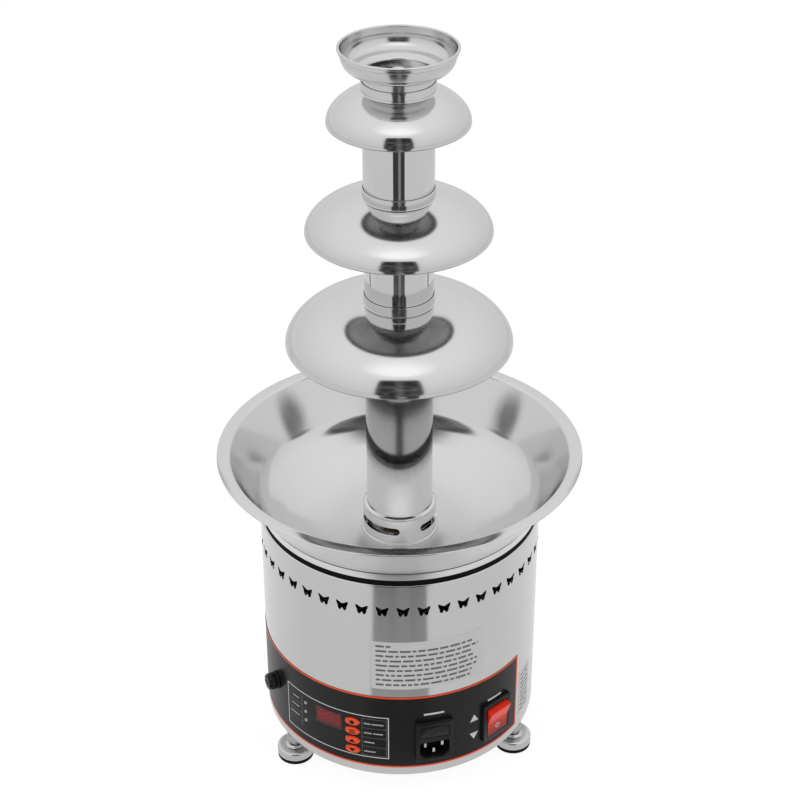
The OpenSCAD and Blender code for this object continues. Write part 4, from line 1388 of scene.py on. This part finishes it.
@dataclass
class Hub(Assembly):
    """The slotted collar in the middle of the bowl, with the bush, the seal and the tower's ring."""

    hub_z: float = HUB_Z
    top: float = HUB_TOP
    outer_r: float = HUB_R
    wall: float = 1.2
    foot_w: float = 1.6
    foot_h: float = 1.6
    slot_z: float = 201.7
    slot_h: float = 6.5
    catch_levels: Point = (199.2, 201.2)
    catch_turns: Point = (25, 129)
    catch_r: float = 26.45
    catch_count: int = 3

    def build(self) -> None:
        """Build the collar and finish what turns in it."""
        inner = self.outer_r - self.wall
        foot_r, foot_z = self.outer_r + self.foot_w, self.hub_z + self.foot_h
        path = rounded([(inner, self.hub_z), (foot_r, self.hub_z, 0.01), (foot_r, foot_z, 0.8),
                        (self.outer_r, foot_z, 0.4), (self.outer_r, self.top, 0.5),
                        (inner, self.top, 0.4), (inner, self.hub_z)])
        collar = BENCH.turned("hub_collar_wall", path)
        Slots(self.slot_z, self.slot_h, (inner - 1, self.outer_r + 1)).cut_from(collar)
        catch = BENCH.ring_part("catch", (self.catch_r, inner + 0.2), self.catch_levels, self.catch_turns)
        collar = BENCH.joined("hub_collar_skin", [collar, BENCH.around(catch, self.catch_count)])
        self.dresser.replace(collar, self.finishes.mirror, "polished_steel", "hub_collar")
        self.dresser.paint(self.finishes.bronze, "shaft_bush")
        self.dresser.paint(self.finishes.rubber, "shaft_seal")
        self.dresser.paint(self.finishes.white, "bearing_ring")


@dataclass
class Drum(Assembly):
    """The casing with its vents, and the plate that closes it below."""

    radius: float = DRUM_R
    bottom: float = DRUM_FOOT
    top: float = CASING_TOP
    sheet_t: float = 1.0
    bottom_rim: float = 26.0
    top_rim: float = 14.0
    bottom_bend: float = 3.0
    top_bend: float = 1.2
    bend_steps: int = 10
    turn_steps: int = 352
    cut_depth: float = 4.0
    vent_count: int = 44
    vent_w: float = 10.2
    vent_z: float = 189.5
    vent_turn: float = 1.2
    wing: tuple[Point, ...] = (
        (0, 0.22), (0.07, 0.22), (0.22, 0.31), (0.41, 0.42), (0.5, 0.4),
        (0.47, 0.24), (0.44, 0.1), (0.38, 0.0), (0.37, -0.13), (0.34, -0.28),
        (0.27, -0.4), (0.18, -0.43), (0.1, -0.38), (0.05, -0.24), (0, -0.2),
    )

    def build(self) -> None:
        """Build the casing and finish the plate."""
        casing = BENCH.turned("casing_skin", self.outline(), self.turn_steps)
        depths = (self.radius - self.cut_depth, self.radius + self.cut_depth)
        vent = BENCH.plate("vent", self.butterfly(), depths, self.vent_turn, self.vent_z)
        BENCH.cut(casing, BENCH.around(vent, self.vent_count))
        for cutter in Openings(self.radius).cutters():
            BENCH.cut(casing, cutter)
        self.dresser.replace(casing, self.finishes.fine, "polished_steel", "casing")
        self.dresser.paint(self.finishes.satin, "base_plate")
        self.dresser.paint(self.finishes.screw, "base_screws")

    def outline(self) -> Outline:
        """Give the casing's closed outline.

        Returns:
            The outline.
        """
        path = rounded([(self.radius - self.bottom_rim, self.bottom),
                        (self.radius, self.bottom, self.bottom_bend),
                        (self.radius, self.top, self.top_bend),
                        (self.radius - self.top_rim, self.top)], self.bend_steps)
        return sheet(path, self.sheet_t)

    def butterfly(self) -> Outline:
        """Give a vent's closed outline about its middle, both wings.

        Returns:
            The outline.
        """
        wing = [(x * self.vent_w, y * self.vent_w) for x, y in self.wing]
        other = [(-x, y) for x, y in wing[-2:0:-1]]
        return wing + other + wing[:1]


@dataclass
class Openings:
    """Openings that the panel's parts need in the drum's wall: turn, level, width and height of each."""

    radius: float
    window: tuple[float, float, float, float] = (*WINDOW_AT, 24.2, 16.2)
    inlet: tuple[float, float, float, float] = (13.8, 59.9, 27.0, 36.0)
    switch: tuple[float, float, float, float] = (43.2, 59.9, 26.0, 33.0)
    inward: float = 9.0
    outward: float = 3.0

    def cutters(self) -> list[bpy.types.Object]:
        """Make one cutter for each opening.

        Returns:
            The cutters.
        """
        depths = (self.radius - self.inward, self.radius + self.outward)
        pieces = []
        for turn, z, width, height in (self.window, self.inlet, self.switch):
            pieces.append(BENCH.plate("opening", box_outline(width, height), depths, turn, z))
        return pieces


class Mark(Enum):
    """What is printed on a button."""

    DOWN = "arrow down"
    UP = "arrow up"
    BARS = "two bars"
    DOT = "dot"


@dataclass(frozen=True)
class Rows:
    """Rows of dashes on a sticker; the heading is the first row's length in degrees, or 0 for a full row."""

    top: float
    pitch: float
    height: float
    turns: Point
    heading: float = 0.0
    count: int = 9


@dataclass
class Panel(Assembly):
    """The control panel: film, printing, display, lights, buttons and stickers; turns are in degrees."""

    radius: float = DRUM_R
    film_t: float = 0.3
    levels: Point = FILM_LEVELS
    turns: Point = (-92.0, 57.8)
    border_w: float = 1.5
    ink_depth: float = 0.1
    ink_proud: float = 0.05
    frame_levels: Point = (41.0, 84.0)
    frame_turns: Point = (-54.3, -4.6)
    frame_w: float = 0.8
    line_w: float = 0.4
    key_levels: Point = (42.8, 81.0)
    key_turns: Point = (-15.9, -5.6)
    key_lines: tuple[float, ...] = (51.8, 61.4, 71.0)
    key_words: tuple[tuple[float, ...], ...] = ((-10.2,), (-10.6,), (-11.6, -7.0), (-12.2, -6.8))
    key_word_start: float = -15.0
    key_word_h: float = 1.2
    key_word_gap: float = 0.5
    lamp_turns: Point = (-52.8, -45.2)
    lamp_lines: tuple[float, ...] = (52.0, 61.0, 70.0)
    lamp_post: tuple[Point, Point] = ((48.0, 79.5), (-45.2, -44.9))
    lamp_words: tuple[float, ...] = (57.0, 66.0, 75.0)
    lamp_word_turns: Point = (-52.6, -46.8)
    lamp_word_h: float = 1.0
    inlet_word: tuple[Point, Point] = ((85.4, 87.2), (9.6, 18.0))
    switch_word: tuple[Point, Point] = ((80.0, 81.8), (38.8, 46.4))
    arrow_turn: float = 31.9
    arrow_levels: Point = (69.6, 51.2)
    arrow_size: Place = (4.0, 3.4, 3.2)
    arrow_depth: float = 0.3
    button_marks: tuple[Mark, ...] = (Mark.DOWN, Mark.UP, Mark.BARS, Mark.DOT)
    button_turn: float = -19.8
    button_z: float = 47.0
    button_pitch: float = 9.6
    button_w: float = 12.6
    button_h: float = 7.3
    button_gap: float = 0.6
    button_back: float = 109.8
    button_out: float = 1.6
    button_edge: float = 0.7
    button_bend: float = 50.0
    mark_arrow: Place = (2.9, 2.1, 1.7)
    mark_bar: Point = (4.8, 1.2)
    mark_bar_rise: float = 1.2
    mark_dot: Point = (4.2, 4.0)
    mark_depth: float = 0.2
    mark_proud: float = 0.06
    window_at: Point = WINDOW_AT
    digit_pitch: float = 6.6
    digit_rows: tuple[float, ...] = (-4.4, 0, 4.4)
    digit_sides: Point = (-2.2, 2.2)
    digit_flat: Point = (3.2, 0.9)
    digit_upright: Point = (0.9, 3.4)
    digit_depth: float = 1.2
    digit_t: Point = (0.1, 0.05)
    sticker_t: float = 0.15
    sticker_proud: float = 0.04
    notice_rows: Rows = Rows(156.8, 4.75, 1.9, (-9.8, 34.2), 6.0)
    side_rows: Rows = Rows(79.0, 4.6, 1.6, (61.8, 69.6))
    dash_turns: Point = (1.4, 4.6)
    dash_gap: float = 0.75
    ragged: float = 0.12
    seed: int = 5

    def build(self) -> None:
        """Build all that is on the panel."""
        self.print_frames()
        self.print_words()
        self.print_marks()
        self.make_buttons()
        self.light_digits()
        self.make_stickers()
        paint = self.dresser.paint
        paint(self.finishes.film, "panel_film")
        paint(self.finishes.window, "display_window")
        paint(self.finishes.display, "display_module")
        paint(self.finishes.lamp, "status_lights")
        paint(self.finishes.board, "control_board")
        paint(self.finishes.screw, "board_pillars")

    def print_piece(self, name: str, shapes: Sequence[bpy.types.Object], finish: bpy.types.Material,
                    slot: str = "sticker_grey") -> None:
        """Join printed shapes into one piece, and seat it on the base."""
        self.dresser.add(BENCH.joined(name, shapes), finish, "base", slot)

    def strip(self, levels: Point, turns: Point) -> bpy.types.Object:
        """Make a printed strip on the film."""
        film_r = self.radius + self.film_t
        return BENCH.ring_part("strip", (film_r - self.ink_depth, film_r + self.ink_proud), levels, turns)

    def outlined(self, levels: Point, turns: Point, width: float) -> list[bpy.types.Object]:
        """Make the four lines of a printed frame.

        Args:
            levels: Lowest and highest level of the frame.
            turns: First and last turn of the frame.
            width: Width of its lines.

        Returns:
            The four strips.
        """
        (z0, z1), (a0, a1) = levels, turns
        lean = math.degrees(width / self.radius)
        inside = (z0 + width, z1 - width)
        return [self.strip((z0, z0 + width), turns), self.strip((z1 - width, z1), turns),
                self.strip(inside, (a0, a0 + lean)), self.strip(inside, (a1 - lean, a1))]

    def print_frames(self) -> None:
        """Print the border round the film and the thin frames round the controls."""
        border = self.outlined(self.levels, self.turns, self.border_w)
        self.print_piece("panel_border", border, self.finishes.border, "button_orange")
        outer = self.outlined(self.frame_levels, self.frame_turns, self.frame_w)
        self.print_piece("panel_frame", outer, self.finishes.ink)
        lines = self.outlined(self.key_levels, self.key_turns, self.line_w)
        lines += [self.strip((z, z + self.line_w), self.key_turns) for z in self.key_lines]
        lines += [self.strip((z, z + self.line_w), self.lamp_turns) for z in self.lamp_lines]
        lines.append(self.strip(*self.lamp_post))
        self.print_piece("panel_rows", lines, self.finishes.dim_ink)

    def print_words(self) -> None:
        """Print the dashes that stand for words beside the buttons and the status lights."""
        words = []
        for i, ends in enumerate(self.key_words):
            level = self.button_z + i * self.button_pitch
            start = self.key_word_start
            for end in ends:
                levels = (level - self.key_word_h / 2, level + self.key_word_h / 2)
                words.append(self.strip(levels, (start, end)))
                start = end + self.key_word_gap
        start, end = self.lamp_word_turns
        for i, level in enumerate(self.lamp_words):
            levels = (level - self.lamp_word_h / 2, level + self.lamp_word_h / 2)
            words.append(self.strip(levels, (start + i, end)))
        self.print_piece("panel_words", words, self.finishes.soft_ink)

    def print_marks(self) -> None:
        """Print the dashes over the inlet and the switch, and the arrows beside the switch."""
        marks = [self.strip(*self.inlet_word), self.strip(*self.switch_word)]
        film_r = self.radius + self.film_t
        half_width, tip, foot = self.arrow_size
        depths = (film_r - self.arrow_depth, film_r + self.ink_proud)
        for rise, z in zip((1, -1), self.arrow_levels):
            outline = arrow_outline(half_width, tip * rise, -foot * rise)
            marks.append(BENCH.plate("arrow", outline, depths, self.arrow_turn, z))
        self.print_piece("panel_marks", marks, self.finishes.ink)

    def make_buttons(self) -> None:
        """Make the four oval buttons with their marks."""
        outline = oval_outline(self.button_w - self.button_gap, self.button_h - self.button_gap, 64)
        front = self.radius + self.film_t + self.button_out
        cap = BENCH.plate("cap", outline, (self.button_back, front), self.button_turn, self.button_z,
                          self.button_edge)
        for i, mark in enumerate(self.button_marks):
            node = f"button_{i + 1}"
            rise = i * self.button_pitch
            button = BENCH.copied(cap, f"{node}_skin")
            button.location = (0, 0, rise * MM)
            BENCH.finish(button, self.button_bend, close=False)
            self.dresser.replace(button, self.finishes.orange, "button_orange", node)
            piece = self.button_mark(f"{node}_mark", mark, front, self.button_z + rise)
            self.dresser.add(piece, self.finishes.dark_ink, self.dresser.body_of[node], "film_black")
        bpy.data.objects.remove(cap)

    def button_mark(self, name: str, mark: Mark, front: float, z: float) -> bpy.types.Object:
        """Print the mark of one button.

        Args:
            name: Name of the new piece.
            mark: What is printed.
            front: Distance of the button's face from the tower's axis.
            z: Level of the button's middle.

        Returns:
            The piece.
        """
        half_width, tip, foot = self.mark_arrow
        bar, rise = box_outline(*self.mark_bar), self.mark_bar_rise
        outlines = {
            Mark.DOWN: [(0, arrow_outline(half_width, -tip, foot))],
            Mark.UP: [(0, arrow_outline(half_width, tip, -foot))],
            Mark.BARS: [(-rise, bar), (rise, bar)],
            Mark.DOT: [(0, oval_outline(*self.mark_dot))],
        }
        depths = (front - self.mark_depth, front + self.mark_proud)
        shapes = []
        for y, outline in outlines[mark]:
            shapes.append(BENCH.plate(name, outline, depths, self.button_turn, z + y))
        return BENCH.joined(name, shapes)

    def light_digits(self) -> None:
        """Put three dim digits behind the display's window."""
        front = self.radius - self.digit_depth
        depths = (front - self.digit_t[0], front + self.digit_t[1])
        bars = [(0, y, self.digit_flat) for y in self.digit_rows]
        bars += [(x, y, self.digit_upright) for x in self.digit_sides for y in self.digit_sides]
        shapes = []
        for middle in (-self.digit_pitch, 0, self.digit_pitch):
            for x, y, size in bars:
                outline = [(middle + x + a, y + b) for a, b in box_outline(*size)]
                shapes.append(BENCH.plate("bar", outline, depths, *self.window_at))
        self.print_piece("display_digits", shapes, self.finishes.digit, "window_red")

    def make_stickers(self) -> None:
        """Print rows of dashes on the two stickers."""
        self.dresser.paint(self.finishes.sticker, "notice_sticker", "side_sticker")
        face_r = self.radius + self.sticker_t
        radii = (face_r - self.ink_depth, face_r + self.sticker_proud)
        chance = Random(self.seed)
        dashes = []
        for rows in (self.notice_rows, self.side_rows):
            left, right = rows.turns
            for i in range(rows.count):
                top = rows.top - rows.pitch * i
                levels = (top - rows.height, top)
                turn = left
                if rows.heading and i == 0:
                    end = left + rows.heading
                else:
                    end = right - chance.uniform(0, self.ragged) * (right - left)
                while turn < end:
                    dash = min(chance.uniform(*self.dash_turns), end - turn)
                    dashes.append(BENCH.ring_part("dash", radii, levels, (turn, turn + dash)))
                    turn += dash + self.dash_gap
        self.print_piece("sticker_rows", dashes, self.finishes.grey_ink, "film_black")


@dataclass
class MainsUnit(Assembly):
    """Power inlet, rocker switch and fuse holder; each moulded part has the width of its rounded edges."""

    moulded: tuple[tuple[str, float], ...] = (
        ("power_inlet", 0.4), ("fuse_drawer", 0.25), ("switch_frame", 0.35),
        ("fuse_holder", 0.2), ("fuse_cap", 0.15),
    )
    rocker_edge: float = 0.5
    rocker_angle: float = 12.0
    face_out: float = 5.33
    mark_drop: float = 7.49
    mark_lean: float = -1.6
    mark_radii: Point = (1.6, 2.3)
    mark_levels: Point = (-0.1, 0.06)
    mark_steps: int = 32

    def build(self) -> None:
        """Round the edges of the moulded parts and finish them."""
        for node, edge in self.moulded:
            piece = BENCH.softened(node, edge)
            self.dresser.replace(piece, self.finishes.black, "black_plastic", node)
        rocker = BENCH.softened("rocker", self.rocker_edge, self.rocker_angle)
        self.dresser.replace(rocker, self.finishes.red, "rocker_red", "rocker")
        self.mark_rocker()
        self.dresser.paint(self.finishes.nickel, "inlet_blades")
        self.dresser.paint(self.finishes.black, "fuse_holder_nut")
        self.dresser.paint(self.finishes.glass, "fuse")

    def mark_rocker(self) -> None:
        """Print a ring on the lower half of the rocker."""
        joint = next(j for j in frame["record"]["behaviour"]["joints"] if j["name"] == "switch_rock")
        x, y, z = (c / MM for c in joint["pos_m"])
        (r0, r1), (z0, z1) = self.mark_radii, self.mark_levels
        ring = [(r0, z0), (r1, z0), (r1, z1), (r0, z1), (r0, z0)]
        mark = BENCH.turned("rocker_mark", ring, self.mark_steps)
        place = (0, -math.hypot(x, y) - self.face_out, z - self.mark_drop)
        BENCH.placed(mark, self.mark_lean, place, math.degrees(math.atan2(x, -y)))
        self.dresser.add(mark, self.finishes.ink, self.dresser.body_of["rocker"], "sticker_grey")


@dataclass
class Feet(Assembly):
    """Three screw feet."""

    count: int = 3
    edge: float = 0.3

    def build(self) -> None:
        """Round the edges of the feet and finish them."""
        for i in range(1, self.count + 1):
            for part, finish, slot in (("nut", self.finishes.screw, "satin_steel"),
                                       ("cup", self.finishes.satin, "satin_steel"),
                                       ("pad", self.finishes.rubber, "black_rubber")):
                node = f"foot_{i}_{part}"
                self.dresser.replace(BENCH.softened(node, self.edge), finish, slot, node)
        self.dresser.paint(self.finishes.screw, "foot_inserts")


@dataclass
class Drive(Assembly):
    """Auger, shaft, motor and heater."""

    def build(self) -> None:
        """Finish the nodes inside the fountain."""
        paint = self.dresser.paint
        paint(self.finishes.mirror, "auger_shaft", "auger_flight")
        paint(self.finishes.screw, "drive_shaft", "bracket_posts", "bracket_screws", "gearbox_screws")
        paint(self.finishes.satin, "motor_bracket")
        paint(self.finishes.cast, "heater_ring", "gearbox")
        paint(self.finishes.motor, "motor")
        paint(self.finishes.black, "heat_sensor")


@dataclass(frozen=True)
class Lamp:
    """A soft lamp: its place in metres and its power in watts."""

    name: str
    place: Place
    power: float


@dataclass
class Studio:
    """Floor, light, reflection cards and camera; sizes in metres, angles in degrees."""

    lens: float = 83.86
    distance: float = 1.2364
    camera_z: float = 1.0684
    pitch: float = 31.51
    roll: float = -0.151
    shift: float = 0.00074
    sensor_w: float = 36.0
    plain_light: float = 0.55
    floor_size: float = 12.0
    floor_glow: float = 1.12
    floor_share: float = 0.8
    card_lift: float = 0.0008
    opening_size: Place = (1.44, 2.1, 0.16)
    opening_place: Place = (0.0, -1.75, 1.05)
    strip_ends: Point = (0.16, 1.75)
    strip_lean: float = 18.5
    box_size: float = 2.2
    box_glow: float = 1.3
    box_tilt: float = -28.0
    box_place: Place = (0.0, -0.95, 2.05)
    side_size: Point = (0.15, 0.085)
    side_place: Place = (0.2, 0.065, 0.325)
    side_turn: float = 37.0
    side_grey: float = 0.07
    lamps: tuple[Lamp, ...] = (
        Lamp("lamp_left", (-1.6, -1.0, 1.9), 16.0),
        Lamp("lamp_right", (1.7, -0.6, 1.7), 12.0),
    )
    lamp_size: float = 1.4
    lamp_aim: Place = (0.0, 0.0, 0.3)

    def build(self) -> None:
        """Set up the studio."""
        self.set_world()
        self.make_floor()
        self.make_opening()
        self.make_table_strip()
        self.make_soft_box()
        self.make_side_cards()
        self.make_lamps()
        self.make_camera()
        bpy.context.scene.view_settings.view_transform = "Standard"

    def set_world(self) -> None:
        """Make a white room: plain light on the object, white behind it."""
        world = bpy.data.worlds.new("room")
        bpy.context.scene.world = world
        shader = Shader(world)
        rise = shader.axes("Generated")[2]
        room = shader.sky(shader.blend(rise.above(0.5, 0.7), grey(0.78), grey(0.95)))
        light = shader.sky(grey(1), self.plain_light)
        mirrored = shader.cover(shader.rays("Is Glossy Ray"), light, room)
        seen = shader.rays("Is Camera Ray", "Is Transmission Ray")
        shown = shader.cover(seen, mirrored, shader.sky(grey(1)))
        shader.node("ShaderNodeOutputWorld", inputs={0: shown})

    def make_floor(self) -> None:
        """Lay a white floor that keeps the object's shadow."""
        BENCH.clear()
        bpy.ops.mesh.primitive_plane_add(size=self.floor_size)
        floor = bpy.context.active_object
        floor.name = "studio_floor"
        shader = Shader("floor_white")
        paper = shader.blend(shader.noise(3, 3), grey(0.82), grey(0.85))
        matt = shader.node("ShaderNodeBsdfDiffuse", inputs={"Color": paper}).outputs[0]
        x, y, _ = shader.axes()
        near = shader.blend(y.above(0.06, 0.3), grey(0.71), grey(0.9))
        mirrored = shader.blend(span(x, y).above(0.75, 0.7), near, grey(0.74))
        colour = shader.blend(shader.rays("Is Glossy Ray"), grey(self.floor_glow), mirrored)
        seen = shader.rays("Is Camera Ray", "Is Glossy Ray", "Is Transmission Ray") * self.floor_share
        floor.data.materials.append(shader.output(shader.cover(seen, matt, shader.glow(colour))))

    def card(self, name: str, outline: Outline, material: bpy.types.Material,
             place: Place = (0, 0, 0), tilt: float = 0.0, turn: float = 0.0) -> None:
        """Cut a flat card that only reflections show.

        Args:
            name: Name of the card.
            outline: Closed outline of (x, y) points in metres, drawn on the floor.
            material: Its material.
            place: Where the card is moved to.
            tilt: Angle by which it is first tipped about the x axis.
            turn: Angle by which it is then turned about the z axis.
        """
        card = BENCH.face(name, [(x / MM, y / MM, self.card_lift / MM) for x, y in outline])
        BENCH.finish(card, close=False)
        card.data.materials.append(material)
        card.visible_camera = False
        card.visible_diffuse = False
        card.visible_shadow = False
        card.visible_transmission = False
        card.rotation_euler = (math.radians(tilt), 0, math.radians(turn))
        card.location = place

    def make_opening(self) -> None:
        """Stand up the room's dark opening, with vague shapes in it."""
        shader = Shader("opening_dark")
        x, y, _ = shader.axes()
        middle = 1 - x.size().above(0.11, 0.08)
        shapes = shader.noise(3.2, 3).above(0.52, 0.2) * (1 - y.above(0.35, 0.3))
        tone = shader.blend((middle * 0.5 + shapes * 0.6).scaled(1), grey(0.022), grey(0.2))
        dark = shader.output(shader.glow(tone))
        self.card("studio_opening", box_outline(*self.opening_size), dark, self.opening_place, 90)

    def make_table_strip(self) -> None:
        """Lay a dark strip on the floor with a lighter seam, wider the further it is from the fountain."""
        near, far = self.strip_ends
        lean = math.tan(math.radians(self.strip_lean))
        outline = [(-near * lean, -near), (-far * lean, -far), (far * lean, -far), (near * lean, -near),
                   (-near * lean, -near)]
        shader = Shader("table_strip")
        x, y, _ = shader.axes()
        fade = (y * -1).above(0.45, 0.6)
        turn = x / (y * -lean)
        seam = (1 - (turn - 0.12).size().above(0.2, 0.16)) * fade
        dark = shader.blend(fade, grey(0.40), grey(0.05))
        tone = shader.blend(seam * 0.8, dark, grey(0.34))
        self.card("studio_table_strip", outline, shader.output(shader.glow(tone)))

    def make_soft_box(self) -> None:
        """Hang a soft box over the front, bright in its middle and faded to its edge."""
        shader = Shader("soft_box")
        x, y, _ = shader.axes()
        light = shader.masked(1 - span(x, y).above(0.7, 0.6), shader.glow(grey(1), self.box_glow))
        outline = box_outline(self.box_size, self.box_size)
        self.card("studio_soft_box", outline, shader.output(light), self.box_place, self.box_tilt)

    def make_side_cards(self) -> None:
        """Stand a small dark card on each side, edge-on to the domes, for the bowl's far wall to show."""
        width, height = self.side_size
        x_side, y_side, z_side = self.side_place
        for name, side in (("left", -1), ("right", 1)):
            shader = Shader(f"side_dark_{name}")
            x, y, _ = shader.axes()
            edge = 1 - span(x / (width / 2), y / (height / 2)).above(0.72, 0.5)
            streaks = shader.noise(1.0, 2, shader.point(x * 60, y * 12, 0)).above(0.5, 0.5)
            dark = shader.masked(edge * (streaks * 0.35 + 0.65), shader.glow(grey(self.side_grey)))
            self.card(f"studio_side_{name}", box_outline(width, height), shader.output(dark),
                      (side * x_side, y_side, z_side), 90, side * self.side_turn)

    def make_lamps(self) -> None:
        """Hang the soft lamps."""
        for lamp in self.lamps:
            data = bpy.data.lights.new(lamp.name, "AREA")
            data.size = self.lamp_size
            data.energy = lamp.power
            piece = bpy.data.objects.new(lamp.name, data)
            bpy.context.scene.collection.objects.link(piece)
            piece.location = lamp.place
            way = Vector(self.lamp_aim) - Vector(lamp.place)
            piece.rotation_euler = way.to_track_quat("-Z", "Y").to_euler()
            piece.visible_camera = False
            piece.visible_glossy = False

    def make_camera(self) -> None:
        """Stand the camera where the photograph was taken from."""
        data = bpy.data.cameras.new("photo_camera")
        data.lens = self.lens
        data.sensor_width = self.sensor_w
        data.shift_x = self.shift
        camera = bpy.data.objects.new("photo_camera", data)
        bpy.context.scene.collection.objects.link(camera)
        tilt = Matrix.Rotation(math.radians(90 - self.pitch), 4, "X")
        roll = Matrix.Rotation(math.radians(self.roll), 4, "Z")
        camera.matrix_world = Matrix.Translation((0, -self.distance, self.camera_z)) @ tilt @ roll
        bpy.context.scene.camera = camera


def main() -> None:
    """Build the fountain's pieces and the studio in order."""
    logging.basicConfig(level=logging.INFO, format="%(message)s")
    Studio().build()
    finishes = Finishes()
    dresser = Dresser()
    for part in (Tower, BowlUnit, Hub, Drum, Panel, MainsUnit, Feet, Drive):
        LOG.info("building %s", part.__name__)
        part(finishes, dresser).build()


if __name__ == "__main__":
    main()
